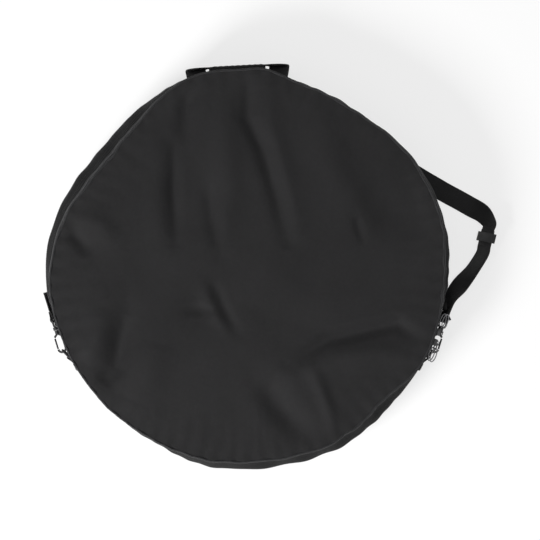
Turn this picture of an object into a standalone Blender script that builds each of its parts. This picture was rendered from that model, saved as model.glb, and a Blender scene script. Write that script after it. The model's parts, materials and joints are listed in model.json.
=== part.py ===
"""Round bag for two bicycle wheels, closed and lying on its rear panel.

The rear panel's underside is the plane Z = 0 and its centre is the origin.
+Y points at the carry handle and +X at the side where the strap comes out.
Angles run counter-clockwise about Z from +X. Lengths are in metres.
"""

import math

import bmesh
import bpy
from mathutils import Matrix, Vector

# Body of the bag
BAG_RADIUS = 0.375
REAR_ZIP_HEIGHT = 0.066
ZIP_SPACING = 0.056
WALL_THICKNESS = 0.002
REAR_PANEL_THICKNESS = 0.006
DIVIDER_THICKNESS = 0.005
FRONT_PANEL_THICKNESS = 0.003
PIPING_RADIUS = 0.0025
GAP = 0.0003
CUT_OVERRUN = 0.01

# Fold line of the two flaps, and the slit beside it
FOLD_Y_SHARE = -0.242
FOLD_SLIT = 0.0008

# Stiffener inside the rear gusset
STIFFENER_LENGTH = 0.17
STIFFENER_THICKNESS = 0.0016
STIFFENER_MARGIN = 0.004

# Zips
TAPE_HEIGHT = 0.0105
TAPE_THICKNESS = 0.0012
COIL_HEIGHT = 0.0026
COIL_DEPTH = 0.0022
ZIP_PAST_FOLD = 0.060
SLIDER_LENGTH = 0.013
SLIDER_HEIGHT = 0.0105
SLIDER_DEPTH = 0.0058
PARK_B = 0.0235
PARK_STEP = 0.020
BRIDGE_LENGTH = 0.0075
BRIDGE_WIDTH = 0.0026
BRIDGE_DEPTH = 0.0052
BRIDGE_WINDOW_LENGTH = 0.0042
BRIDGE_WINDOW_DEPTH = 0.0030
TAB_WIRE_RADIUS = 0.0009
TAB_LENGTH = 0.0125
TAB_WIDTH = 0.0075
LOOP_WIRE_RADIUS = 0.0010
LOOP_LENGTH = 0.027
LOOP_WIDTH = 0.010
LOOP_CORNERS = 14
PULL_LEAN = math.radians(0.5)

# Carry handle
HANDLE_SPAN = 0.160
HANDLE_AZIMUTH = math.radians(93.0)
WEBBING_WIDTH = 0.038
WEBBING_THICKNESS = 0.0024
ANCHOR_HEIGHT = 0.026
ANCHOR_TOP = 0.108
ANCHOR_WIDTH = 0.040
ANCHOR_THICKNESS = 0.003
ANCHOR_SEAM_HEIGHT = 0.013
HANDLE_STANDOFF = 0.0102
LEG_LENGTH = 0.066
HANDLE_DROP = 0.160
GRIP_LENGTH = 0.108
GRIP_WIDTH = 0.021
GRIP_THICKNESS = 0.011
GRIP_SKIN = 0.0012

# Side tabs, D-rings and snap hooks
HARDWARE_HEIGHT = 0.036
TAB_PATCH_LENGTH = 0.028
TAB_PATCH_HEIGHT = 0.026
TAB_PATCH_THICKNESS = 0.003
RING_AZIMUTH = math.radians(-25.6)
RING_WIRE_RADIUS = 0.0018
RING_WIDTH = 0.032
RING_LENGTH = 0.022
RING_TILT = math.radians(20.0)
RING_BAR_OFFSET = 0.0052
ROLL_RADIUS = 0.0045
HOOK_AZIMUTH = math.radians(-17.2)
HOOK_WIRE_RADIUS = 0.0021
HOOK_WIDTH = 0.0145
HOOK_LENGTH = 0.0367
GATE_LENGTH = 0.0172
GATE_RADIUS = 0.0017
NECK_RADIUS = 0.0040
NECK_LENGTH = 0.0070
COLLAR_RADIUS = 0.0052
COLLAR_LENGTH = 0.0060
EYE_CLEARANCE = 0.0007
EYE_LEAN = math.radians(74)
EYE_LENGTH = 0.013
EYE_WIRE_RADIUS = 0.0019
STRAP_END_LENGTH = 0.022
STRAP_END_LAYERS = 0.0085
RISER_GAP = 0.0010

# Shoulder strap: shares of the bag's radius for its route and its rise, and its lean from flat
STRAP_WIDTH = 0.038
STRAP_THICKNESS = 0.0022
STRAP_LIFT = 0.0004
GROOVE_CLEARANCE = 0.0006
LOWER_LAYERS = 0.0046
UNDER_ROUTE_SHARES = (
    (-1.0360, -0.1560, 0.0, 0.0),
    (-0.9700, -0.1350, 0.0, 0.0),
    (-0.8800, -0.0900, 0.0, 0.0),
    (-0.7200, 0.0700, 0.0, 0.0),
    (-0.5000, 0.3300, 0.0, 0.0),
    (-0.2000, 0.5600, 0.0, 0.0),
    (0.1500, 0.6700, 0.0, 0.0),
    (0.5000, 0.6550, 0.0, 0.0),
    (0.7500, 0.5600, 0.0, 0.0),
    (0.9300, 0.4580, 0.0, 0.0),
)
OUTER_ROUTE_SHARES = (
    (0.9340, 0.4560, 0.0, 0.0),
    (1.0130, 0.4100, 0.0, 0.0),
    (1.0850, 0.3710, 0.0, 0.0),
    (1.1500, 0.3340, 0.0, 0.05),
)
TURN_ROUTE_SHARES = (
    (1.1530, 0.3320, 0.0, 0.05),
    (1.2070, 0.2990, 0.004, 0.30),
    (1.2410, 0.2500, 0.014, 0.60),
    (1.2348, 0.2210, 0.014, 0.65),
)
LOWER_ROUTE_SHARES = (
    (1.2330, 0.2140, 0.014, 0.65),
    (1.2227, 0.1727, 0.014, 0.65),
    (1.2123, 0.1313, 0.014, 0.65),
    (1.2020, 0.0900, 0.014, 0.65),
    (1.1500, 0.0080, 0.018, 0.62),
    (1.0850, -0.0720, 0.028, 0.45),
    (1.0360, -0.1400, 0.040, 0.68),
    (1.0163, -0.1985, 0.042, 0.82),
)
ADJUSTER_RIM = 0.0045
ADJUSTER_LENGTH = 0.018
ADJUSTER_DEPTH = 0.0095
ADJUSTER_PLACE = 0.0145

# Mesh fineness
FULL_TURN_STEPS = 96
WIRE_RESOLUTION = 1
ROUTE_STEPS = 5

# Depth of the ring's bow inside the hook, and the frames that the strap passes through
HOOK_BITE = RING_WIRE_RADIUS + HOOK_WIRE_RADIUS + 2 * GAP
EYE_WIDTH = STRAP_WIDTH + 4 * EYE_WIRE_RADIUS + 2 * EYE_CLEARANCE
ADJUSTER_WIDTH = STRAP_WIDTH + 2 * ADJUSTER_RIM

# Levels that follow from the sizes above, from the floor up
HALF_SPLIT = GAP / 2
FRONT_ZIP_HEIGHT = REAR_ZIP_HEIGHT + ZIP_SPACING
REAR_WALL_BOTTOM = 2 * PIPING_RADIUS + 2 * GAP
REAR_WALL_TOP = REAR_ZIP_HEIGHT - HALF_SPLIT - TAPE_HEIGHT - GAP
FRONT_WALL_BOTTOM = REAR_ZIP_HEIGHT + HALF_SPLIT + TAPE_HEIGHT + GAP
FRONT_WALL_TOP = FRONT_ZIP_HEIGHT - HALF_SPLIT - TAPE_HEIGHT - GAP
FRONT_PIPING_HEIGHT = FRONT_ZIP_HEIGHT + HALF_SPLIT + TAPE_HEIGHT + GAP + PIPING_RADIUS
TOP_HEIGHT = FRONT_PIPING_HEIGHT + PIPING_RADIUS
DIVIDER_HEIGHT = REAR_ZIP_HEIGHT + HALF_SPLIT + COIL_HEIGHT + GAP

# Radii
WALL_INNER = BAG_RADIUS - WALL_THICKNESS
TAPE_OUTER = BAG_RADIUS - (WALL_THICKNESS - TAPE_THICKNESS) / 2
TAPE_INNER = TAPE_OUTER - TAPE_THICKNESS
COIL_OUTER = TAPE_OUTER + COIL_DEPTH
PIPING_CIRCLE = BAG_RADIUS - WALL_THICKNESS / 2
PANEL_RADIUS = PIPING_CIRCLE - PIPING_RADIUS - GAP
DIVIDER_RADIUS = WALL_INNER - GAP

# The fold line, and angles along the wall
FOLD_Y = FOLD_Y_SHARE * BAG_RADIUS
FOLD_ANGLE = -math.asin(FOLD_Y_SHARE)
SLIT_ANGLE = FOLD_SLIT / BAG_RADIUS
END_ANGLE = FOLD_ANGLE + ZIP_PAST_FOLD / BAG_RADIUS
FLAP_SPAN = (-FOLD_ANGLE + SLIT_ANGLE, math.pi + FOLD_ANGLE - SLIT_ANGLE)
BASE_SPAN = (math.pi + FOLD_ANGLE + SLIT_ANGLE, 2 * math.pi - FOLD_ANGLE - SLIT_ANGLE)
UP = Vector((0, 0, 1))

COLLECTION_NAME = "wheel_bag"


def clear_scene():
    for item in list(bpy.data.objects):
        bpy.data.objects.remove(item, do_unlink=True)


def make_collection(name):
    collection = bpy.data.collections.new(name)
    bpy.context.scene.collection.children.link(collection)
    return collection


def make_material(name, color, roughness, metallic=0.0):
    material = bpy.data.materials.new(name)
    material.use_nodes = True
    shader = material.node_tree.nodes["Principled BSDF"]
    shader.inputs["Base Color"].default_value = (*color, 1.0)
    shader.inputs["Roughness"].default_value = roughness
    shader.inputs["Metallic"].default_value = metallic
    return material


clear_scene()
PARTS = make_collection(COLLECTION_NAME)
CUTTERS = make_collection(COLLECTION_NAME + "_cutters")

SHELL_FABRIC = make_material("shell_fabric", (0.024, 0.024, 0.025), 0.75)
LINING_FABRIC = make_material("lining_fabric", (0.052, 0.052, 0.056), 0.7)
PIPING_CLOTH = make_material("piping_cloth", (0.045, 0.045, 0.048), 0.55)
TAPE_CLOTH = make_material("zip_tape", (0.018, 0.018, 0.019), 0.8)
WEBBING = make_material("webbing", (0.020, 0.020, 0.021), 0.7)
SLIDER_METAL = make_material("slider_metal", (0.08, 0.08, 0.085), 0.35, 1.0)
LOOP_METAL = make_material("loop_metal", (0.42, 0.42, 0.44), 0.35, 0.9)
HARDWARE = make_material("hardware", (0.022, 0.022, 0.023), 0.35)
BOARD = make_material("stiffener_board", (0.10, 0.10, 0.10), 0.6)


def add_object(name, mesh, material, collection=None):
    """Put a mesh in the scene as a named piece."""
    item = bpy.data.objects.new(name, mesh)
    (collection or PARTS).objects.link(item)
    if material:
        mesh.materials.append(material)
    return item


def finish_mesh(name, bm):
    """Turn a bmesh into a smooth-shaded mesh with its sharp edges kept."""
    bmesh.ops.recalc_face_normals(bm, faces=bm.faces)
    mesh = bpy.data.meshes.new(name)
    bm.to_mesh(mesh)
    bm.free()
    mesh.shade_smooth()
    mesh.set_sharp_from_angle(angle=math.radians(35))
    return mesh


def sector(name, section, span, material, collection=None):
    """Sweep a section of (radius, height) points about Z over a span of angles."""
    start, end = span
    steps = max(2, round(FULL_TURN_STEPS * (end - start) / (2 * math.pi)))
    bm = bmesh.new()
    corners = [bm.verts.new((radius, 0, height)) for radius, height in section]
    face = bm.faces.new(corners)
    bmesh.ops.rotate(bm, verts=corners, cent=(0, 0, 0), matrix=Matrix.Rotation(start, 3, "Z"))
    bmesh.ops.spin(
        bm,
        geom=[face, *face.edges, *corners],
        cent=(0, 0, 0),
        axis=UP,
        angle=end - start,
        steps=steps,
        use_duplicate=False,
    )
    return add_object(name, finish_mesh(name, bm), material, collection)


def turned(name, section, material):
    """Turn a closed section all the way round Z with a Screw modifier."""
    bm = bmesh.new()
    corners = [bm.verts.new((radius, 0, height)) for radius, height in section]
    for first, second in zip(corners, corners[1:] + corners[:1]):
        bm.edges.new((first, second))
    mesh = bpy.data.meshes.new(name)
    bm.to_mesh(mesh)
    bm.free()
    item = add_object(name, mesh, material)
    screw = item.modifiers.new("turn", "SCREW")
    screw.steps = FULL_TURN_STEPS
    screw.render_steps = FULL_TURN_STEPS
    screw.use_merge_vertices = True
    screw.merge_threshold = GAP / 10
    return item


def rectangle(inner, outer, low, high):
    """Section of a wall, its outer side first and from the top down."""
    return [(outer, high), (outer, low), (inner, low), (inner, high)]


def circle_section(radius, height, wire, sides=8):
    """Section of a round cord on a circle about Z, from the top down on its outer side."""
    turns = [math.pi / 2 - 2 * math.pi * (step + 0.5) / sides for step in range(sides)]
    return [(radius + wire * math.cos(turn), height + wire * math.sin(turn)) for turn in turns]


def box(name, size, matrix, material=None, collection=None, bevel=0.0):
    """Block from a primitive, with its edges rounded where a bevel is given."""
    bm = bmesh.new()
    bmesh.ops.create_cube(bm, size=1)
    bmesh.ops.scale(bm, vec=size, verts=bm.verts)
    item = add_object(name, finish_mesh(name, bm), material, collection)
    item.matrix_world = matrix
    if bevel:
        rounding = item.modifiers.new("rounding", "BEVEL")
        rounding.width = bevel
        rounding.segments = 2
    return item


def cylinder(name, radius, depth, matrix, material=None, collection=None, segments=20):
    """Round bar from a primitive, along the matrix's Z."""
    bm = bmesh.new()
    bmesh.ops.create_cone(
        bm, cap_ends=True, segments=segments, radius1=radius, radius2=radius, depth=depth
    )
    item = add_object(name, finish_mesh(name, bm), material, collection)
    item.matrix_world = matrix
    return item


def boolean(item, tool, operation="DIFFERENCE"):
    """Cut or join with a tool object, which stays hidden among the cutters."""
    tool.hide_render = True
    tool.display_type = "WIRE"
    modifier = item.modifiers.new(operation.lower(), "BOOLEAN")
    modifier.operation = operation
    modifier.object = tool
    modifier.solver = "EXACT"


def wire(name, points, radius, material, cyclic=False, collection=None, resolution=WIRE_RESOLUTION):
    """Round wire along points, as one closed mesh."""
    curve = bpy.data.curves.new(name, "CURVE")
    curve.dimensions = "3D"
    curve.bevel_depth = radius
    curve.bevel_resolution = resolution
    curve.use_fill_caps = True
    spline = curve.splines.new("POLY")
    spline.points.add(len(points) - 1)
    spline.use_cyclic_u = cyclic
    for target, point in zip(spline.points, points):
        target.co = (*point, 1)
    guide = bpy.data.objects.new(name + "_guide", curve)
    PARTS.objects.link(guide)
    bpy.context.view_layer.update()
    depsgraph = bpy.context.evaluated_depsgraph_get()
    mesh = bpy.data.meshes.new_from_object(guide.evaluated_get(depsgraph))
    bpy.data.objects.remove(guide, do_unlink=True)
    bm = bmesh.new()
    bm.from_mesh(mesh)
    bpy.data.meshes.remove(mesh)
    bmesh.ops.remove_doubles(bm, verts=bm.verts, dist=GAP / 10)
    return add_object(name, finish_mesh(name, bm), material, collection)


def smooth_route(points, steps=ROUTE_STEPS):
    """Catmull-Rom curve through the points, each a tuple of any length."""
    padded = [points[0], *points, points[-1]]
    route = []
    for index in range(1, len(padded) - 2):
        before, start, end, after = (Vector(padded[index + shift]) for shift in (-1, 0, 1, 2))
        for step in range(steps):
            t = step / steps
            route.append(
                0.5
                * (
                    2 * start
                    + (end - before) * t
                    + (2 * before - 5 * start + 4 * end - after) * t**2
                    + (3 * start - before - 3 * end + after) * t**3
                )
            )
    route.append(Vector(points[-1]))
    return route


def ribbon(name, centres, leans, width, thickness, material, collection=None):
    """Flat webbing along centre points; a lean of 0 lies flat and of a quarter turn stands."""
    bm = bmesh.new()
    rows = []
    for index, centre in enumerate(centres):
        ahead = centres[min(index + 1, len(centres) - 1)]
        behind = centres[max(index - 1, 0)]
        along = (ahead - behind).normalized()
        level = UP.cross(along).normalized()
        rising = along.cross(level)
        across = level * math.cos(leans[index]) + rising * math.sin(leans[index])
        face_normal = along.cross(across)
        half_width = across * width / 2
        half_thickness = face_normal * thickness / 2
        rows.append(
            [
                bm.verts.new(centre + half_width + half_thickness),
                bm.verts.new(centre - half_width + half_thickness),
                bm.verts.new(centre - half_width - half_thickness),
                bm.verts.new(centre + half_width - half_thickness),
            ]
        )
    for row, following in zip(rows, rows[1:]):
        for corner in range(4):
            other = (corner + 1) % 4
            bm.faces.new((row[corner], row[other], following[other], following[corner]))
    bm.faces.new(rows[0])
    bm.faces.new(rows[-1])
    return add_object(name, finish_mesh(name, bm), material, collection)


def placed(location, x_axis, z_axis):
    """Matrix with the given place, X axis and Z axis."""
    side = z_axis.cross(x_axis).normalized()
    rotation = Matrix((x_axis, side, z_axis)).transposed().to_4x4()
    return Matrix.Translation(location) @ rotation


def polar(radius, angle, height=0.0):
    return Vector((radius * math.cos(angle), radius * math.sin(angle), height))


def outward(angle):
    return Vector((math.cos(angle), math.sin(angle), 0))


def along_wall(angle):
    return Vector((-math.sin(angle), math.cos(angle), 0))


def half_space(name, side):
    """Cutter that removes what lies above (+1) or below (-1) the fold line, plus its slit."""
    reach = BAG_RADIUS + CUT_OVERRUN
    depth = 2 * reach
    centre_y = FOLD_Y + side * (depth / 2 - FOLD_SLIT)
    size = (2 * reach, depth, TOP_HEIGHT + 2 * CUT_OVERRUN)
    return box(name, size, Matrix.Translation((0, centre_y, TOP_HEIGHT / 2)), collection=CUTTERS)


def panel(name, radius, bottom, thickness, material, cutter=None):
    """Round panel, cut along the fold line where a cutter is given."""
    centre = Matrix.Translation((0, 0, bottom + thickness / 2))
    item = cylinder(name, radius, thickness, centre, material, segments=FULL_TURN_STEPS)
    if cutter:
        boolean(item, cutter)
    return item


def make_rear_half(groove):
    """Rear panel, its piping, the rear wall and the strip that stiffens it."""
    rear_panel = panel("rear_panel", PANEL_RADIUS, 0, REAR_PANEL_THICKNESS, SHELL_FABRIC)
    boolean(rear_panel, groove)
    piping_height = PIPING_RADIUS + GAP
    piping = circle_section(PIPING_CIRCLE, piping_height, PIPING_RADIUS)
    rear_piping = turned("rear_piping", piping, PIPING_CLOTH)
    boolean(rear_piping, groove)
    wall = rectangle(WALL_INNER, BAG_RADIUS, REAR_WALL_BOTTOM, REAR_WALL_TOP)
    turned("rear_gusset", wall, SHELL_FABRIC)
    stiffener_outer = WALL_INNER - GAP
    stiffener = rectangle(
        stiffener_outer - STIFFENER_THICKNESS,
        stiffener_outer,
        REAR_PANEL_THICKNESS + STIFFENER_MARGIN,
        REAR_WALL_TOP - STIFFENER_MARGIN,
    )
    half = STIFFENER_LENGTH / BAG_RADIUS / 2
    span = (HANDLE_AZIMUTH - half, HANDLE_AZIMUTH + half)
    sector("rear_gusset_stiffener", stiffener, span, BOARD)


def tape_half(name, zip_height, side, span):
    """One half of a zip: its tape with the coil sewn along the inner edge."""
    edge = zip_height + side * HALF_SPLIT
    section = [
        (TAPE_OUTER, edge + side * TAPE_HEIGHT),
        (TAPE_OUTER, edge + side * COIL_HEIGHT),
        (COIL_OUTER, edge + side * COIL_HEIGHT * 0.75),
        (COIL_OUTER, edge),
        (TAPE_INNER, edge),
        (TAPE_INNER, edge + side * TAPE_HEIGHT),
    ]
    return sector(name, section, span, TAPE_CLOTH)


def zip_end(name, zip_height, span):
    """The closed end of a zip beside the fold, with both halves in one."""
    reach = HALF_SPLIT + TAPE_HEIGHT
    coil = HALF_SPLIT + COIL_HEIGHT
    section = [
        (TAPE_OUTER, zip_height + reach),
        (TAPE_OUTER, zip_height + coil),
        (COIL_OUTER, zip_height + coil * 0.75),
        (COIL_OUTER, zip_height - coil * 0.75),
        (TAPE_OUTER, zip_height - coil),
        (TAPE_OUTER, zip_height - reach),
        (TAPE_INNER, zip_height - reach),
        (TAPE_INNER, zip_height + reach),
    ]
    return sector(name, section, span, TAPE_CLOTH)


def make_zips():
    end_length = END_ANGLE - FOLD_ANGLE
    for label, height in (("rear", REAR_ZIP_HEIGHT), ("front", FRONT_ZIP_HEIGHT)):
        tape_half(label + "_zip_tape_lower", height, -1, FLAP_SPAN)
        tape_half(label + "_zip_tape_upper", height, 1, FLAP_SPAN)
        right_start = -FOLD_ANGLE - end_length
        zip_end(label + "_zip_end_right", height, (right_start, -FOLD_ANGLE - SLIT_ANGLE))
        left_start = math.pi + FOLD_ANGLE
        zip_end(label + "_zip_end_left", height, (left_start + SLIT_ANGLE, left_start + end_length))


def make_front_half():
    """Divider, front wall, front panel and front piping, each in a fixed and a folding part."""
    keep_flap = half_space("fold_cutter_below", -1)
    keep_base = half_space("fold_cutter_above", 1)
    front_bottom = TOP_HEIGHT - FRONT_PANEL_THICKNESS - GAP
    for part, cutter in (("base", keep_base), ("flap", keep_flap)):
        panel("divider_" + part, DIVIDER_RADIUS, DIVIDER_HEIGHT, DIVIDER_THICKNESS, LINING_FABRIC, cutter)
        panel("front_panel_" + part, PANEL_RADIUS, front_bottom, FRONT_PANEL_THICKNESS, SHELL_FABRIC, cutter)
    piping = circle_section(PIPING_CIRCLE, FRONT_PIPING_HEIGHT, PIPING_RADIUS)
    sector("front_piping_base", piping, BASE_SPAN, PIPING_CLOTH)
    sector("front_piping_flap", piping, FLAP_SPAN, PIPING_CLOTH)
    flap_wall = rectangle(WALL_INNER, BAG_RADIUS, FRONT_WALL_BOTTOM, FRONT_WALL_TOP)
    sector("front_gusset_flap", flap_wall, FLAP_SPAN, SHELL_FABRIC)
    base_bottom = REAR_WALL_TOP + GAP
    base_top = FRONT_PIPING_HEIGHT - PIPING_RADIUS - GAP
    base_wall = rectangle(WALL_INNER, BAG_RADIUS, base_bottom, base_top)
    front_wall = sector("front_gusset_base", base_wall, BASE_SPAN, SHELL_FABRIC)
    window_reach = HALF_SPLIT + TAPE_HEIGHT + GAP
    cut_inner, cut_outer = WALL_INNER - CUT_OVERRUN, BAG_RADIUS + CUT_OVERRUN
    overrun = CUT_OVERRUN / BAG_RADIUS
    for label, height, low, high in (
        ("rear", REAR_ZIP_HEIGHT, CUT_OVERRUN + window_reach, window_reach),
        ("front", FRONT_ZIP_HEIGHT, window_reach, CUT_OVERRUN + window_reach),
    ):
        window = rectangle(cut_inner, cut_outer, height - low, height + high)
        past_end = END_ANGLE + GAP / BAG_RADIUS
        spans = {
            "right": (-past_end, -FOLD_ANGLE + overrun),
            "left": (math.pi + FOLD_ANGLE - overrun, math.pi + past_end),
        }
        for side, span in spans.items():
            boolean(front_wall, sector(label + "_window_" + side, window, span, None, CUTTERS))


def make_slider(name, zip_height, angle, pull_sign):
    """Slider over the coil, with a bridge, a tab that pivots in it and a loop on the tab."""
    out, along = outward(angle), along_wall(angle)
    inner = TAPE_OUTER + GAP
    centre = polar(inner + SLIDER_DEPTH / 2, angle, zip_height)
    frame = placed(centre, along, out)
    slider = box(name, (SLIDER_LENGTH, SLIDER_HEIGHT, SLIDER_DEPTH), frame, SLIDER_METAL)
    channel_height = 2 * (HALF_SPLIT + COIL_HEIGHT + GAP)
    channel_depth = COIL_OUTER + 2 * GAP - inner + CUT_OVERRUN
    channel_centre = polar(inner - CUT_OVERRUN + channel_depth / 2, angle, zip_height)
    channel_size = (SLIDER_LENGTH + CUT_OVERRUN, channel_height, channel_depth)
    channel = box(name + "_channel", channel_size, placed(channel_centre, along, out), collection=CUTTERS)
    bridge_base = inner + SLIDER_DEPTH - GAP
    bridge_centre = polar(bridge_base + BRIDGE_DEPTH / 2, angle, zip_height)
    bridge_size = (BRIDGE_LENGTH, BRIDGE_WIDTH, BRIDGE_DEPTH)
    bridge = box(name + "_bridge", bridge_size, placed(bridge_centre, along, out), collection=CUTTERS)
    pivot_radius = inner + SLIDER_DEPTH + GAP + BRIDGE_WINDOW_DEPTH / 2
    pivot = polar(pivot_radius, angle, zip_height)
    window_size = (BRIDGE_WINDOW_LENGTH, SLIDER_HEIGHT, BRIDGE_WINDOW_DEPTH)
    window = box(name + "_window", window_size, placed(pivot, along, out), collection=CUTTERS)
    boolean(slider, channel)
    boolean(slider, bridge, "UNION")
    boolean(slider, window)

    # The tab is a small wire frame standing on edge; the loop lies level through its far end
    pull = along * pull_sign * math.cos(PULL_LEAN) + out * math.sin(PULL_LEAN)
    wide = UP * (TAB_WIDTH / 2)
    far = pull * TAB_LENGTH
    wire(name + "_tab", [pivot - wide, pivot + wide, pivot + far + wide, pivot + far - wide],
         TAB_WIRE_RADIUS, SLIDER_METAL, cyclic=True)
    side = pull.cross(UP)
    start = TAB_LENGTH - TAB_WIRE_RADIUS - LOOP_WIRE_RADIUS - 2 * GAP
    points = []
    for step in range(LOOP_CORNERS):
        turn = 2 * math.pi * (step + 0.5) / LOOP_CORNERS
        forward = start + LOOP_LENGTH * (1 - math.cos(turn)) / 2
        breadth = LOOP_WIDTH / 2 * math.sin(turn)
        points.append(pivot + pull * forward + side * breadth)
    wire(name + "_loop", points, LOOP_WIRE_RADIUS, LOOP_METAL, cyclic=True)


def make_sliders():
    for label, height in (("rear", REAR_ZIP_HEIGHT), ("front", FRONT_ZIP_HEIGHT)):
        angle_b = -FOLD_ANGLE - PARK_B / BAG_RADIUS
        angle_a = angle_b - PARK_STEP / BAG_RADIUS
        make_slider(label + "_slider_a", height, angle_a, -1)
        make_slider(label + "_slider_b", height, angle_b, 1)


def extruded(name, corners, along, depth, material, collection=None):
    """Flat outline of points, given depth along a direction."""
    bm = bmesh.new()
    face = bm.faces.new([bm.verts.new(corner) for corner in corners])
    grown = bmesh.ops.extrude_face_region(bm, geom=[face], use_keep_orig=True)["geom"]
    moved = [item for item in grown if isinstance(item, bmesh.types.BMVert)]
    bmesh.ops.translate(bm, verts=moved, vec=along * depth)
    bmesh.ops.triangulate(bm, faces=[item for item in bm.faces if len(item.verts) > 4])
    return add_object(name, finish_mesh(name, bm), material, collection)


def make_anchor(label, sign, face, low, wall_cutter):
    """Webbing sewn flat on the wall, which leans out below its seam as far as the legs."""
    out, along = outward(HANDLE_AZIMUTH), along_wall(HANDLE_AZIMUTH)
    near = HANDLE_SPAN / 2 - ANCHOR_WIDTH / 2
    far = HANDLE_SPAN / 2 + ANCHOR_WIDTH / 2
    patch_outer = BAG_RADIUS + GAP + ANCHOR_THICKNESS
    near_patch = math.sqrt(patch_outer**2 - near**2)
    slope = (ANCHOR_HEIGHT - ANCHOR_SEAM_HEIGHT) / (face - near_patch)
    outline = [
        (face, low),
        (face, low + ANCHOR_THICKNESS),
        (face - (ANCHOR_HEIGHT - ANCHOR_THICKNESS) / slope, ANCHOR_TOP),
        (face - ANCHOR_THICKNESS - ANCHOR_HEIGHT / slope, ANCHOR_TOP),
        (face - ANCHOR_THICKNESS, low),
    ]
    start = near if sign > 0 else -far
    corners = [out * reach + along * start + UP * height for reach, height in outline]
    anchor = extruded("handle_anchor_" + label, corners, along, ANCHOR_WIDTH, WEBBING)
    seam = rectangle(BAG_RADIUS - CUT_OVERRUN, patch_outer, ANCHOR_TOP - ANCHOR_SEAM_HEIGHT, ANCHOR_TOP)
    turns = sorted(HANDLE_AZIMUTH + sign * math.asin(place / BAG_RADIUS) for place in (near, far))
    boolean(anchor, sector("anchor_seam_" + label, seam, turns, None, CUTTERS), "UNION")
    boolean(anchor, wall_cutter)


def make_handle():
    """Carry handle, folded up beside the wall, with room behind it for the rear zip's pulls."""
    out, along = outward(HANDLE_AZIMUTH), along_wall(HANDLE_AZIMUTH)
    plane = BAG_RADIUS + HANDLE_STANDOFF + WEBBING_THICKNESS / 2
    anchor_face = plane - WEBBING_THICKNESS / 2 - GAP
    anchor_low = ANCHOR_TOP - ANCHOR_HEIGHT
    fold_height = anchor_low - GAP - LEG_LENGTH
    outer_plane = plane + WEBBING_THICKNESS / 2 + GAP
    wall_cutter = cylinder(
        "anchor_wall_cutter",
        BAG_RADIUS + GAP,
        2 * TOP_HEIGHT,
        Matrix.Translation((0, 0, TOP_HEIGHT / 2)),
        collection=CUTTERS,
        segments=2 * FULL_TURN_STEPS,
    )
    for label, sign in (("right", -1), ("left", 1)):
        offset = along * sign * HANDLE_SPAN / 2
        make_anchor(label, sign, anchor_face, anchor_low, wall_cutter)
        leg_place = out * plane + offset
        leg_place.z = anchor_low - GAP - LEG_LENGTH / 2
        leg_size = (WEBBING_WIDTH, WEBBING_THICKNESS, LEG_LENGTH)
        box("handle_leg_" + label, leg_size, placed(leg_place, along, UP), WEBBING)

    # The folded-up half: webbing bent in a U with the grip round its middle
    rise = HANDLE_DROP - LEG_LENGTH
    bottom = fold_height
    half_span = HANDLE_SPAN / 2
    top = bottom + rise
    outer = half_span + WEBBING_WIDTH / 2
    inner = half_span - WEBBING_WIDTH / 2
    outline = [
        (-outer, bottom),
        (-inner, bottom),
        (-inner, top - GRIP_WIDTH * 2),
        (-GRIP_LENGTH / 2, top - GRIP_WIDTH * 0.8),
        (GRIP_LENGTH / 2, top - GRIP_WIDTH * 0.8),
        (inner, top - GRIP_WIDTH * 2),
        (inner, bottom),
        (outer, bottom),
        (outer, top - GRIP_WIDTH * 1.6),
        (GRIP_LENGTH / 2 + GRIP_WIDTH / 2, top - GRIP_WIDTH * 0.2),
        (-GRIP_LENGTH / 2 - GRIP_WIDTH / 2, top - GRIP_WIDTH * 0.2),
        (-outer, top - GRIP_WIDTH * 1.6),
    ]
    corners = [along * x + out * outer_plane + UP * z for x, z in outline]
    extruded("handle_webbing", corners, out, WEBBING_THICKNESS, WEBBING)
    grip_height = UP * (top - GRIP_WIDTH / 2)
    grip_outer = outer_plane + WEBBING_THICKNESS + GRIP_SKIN
    grip_place = out * (grip_outer - GRIP_THICKNESS / 2) + grip_height
    slot_place = out * (outer_plane + WEBBING_THICKNESS / 2) + grip_height
    grip = box(
        "handle_grip",
        (GRIP_LENGTH, GRIP_THICKNESS, GRIP_WIDTH),
        placed(grip_place, along, UP),
        WEBBING,
        bevel=GRIP_THICKNESS / 3,
    )
    slot_size = (2 * GRIP_LENGTH, WEBBING_THICKNESS + 2 * GAP, GRIP_WIDTH * 0.6 + 2 * GAP)
    slot = box("grip_slot", slot_size, placed(slot_place, along, UP), collection=CUTTERS)
    boolean(grip, slot)


def side_point(side, base, direction, across, s, v, z=0.0):
    """Point s along and v outward from a base at the right side, mirrored for the left."""
    point = base + direction * s + across * v + UP * z
    return Vector((point.x * side, point.y, point.z))


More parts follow.
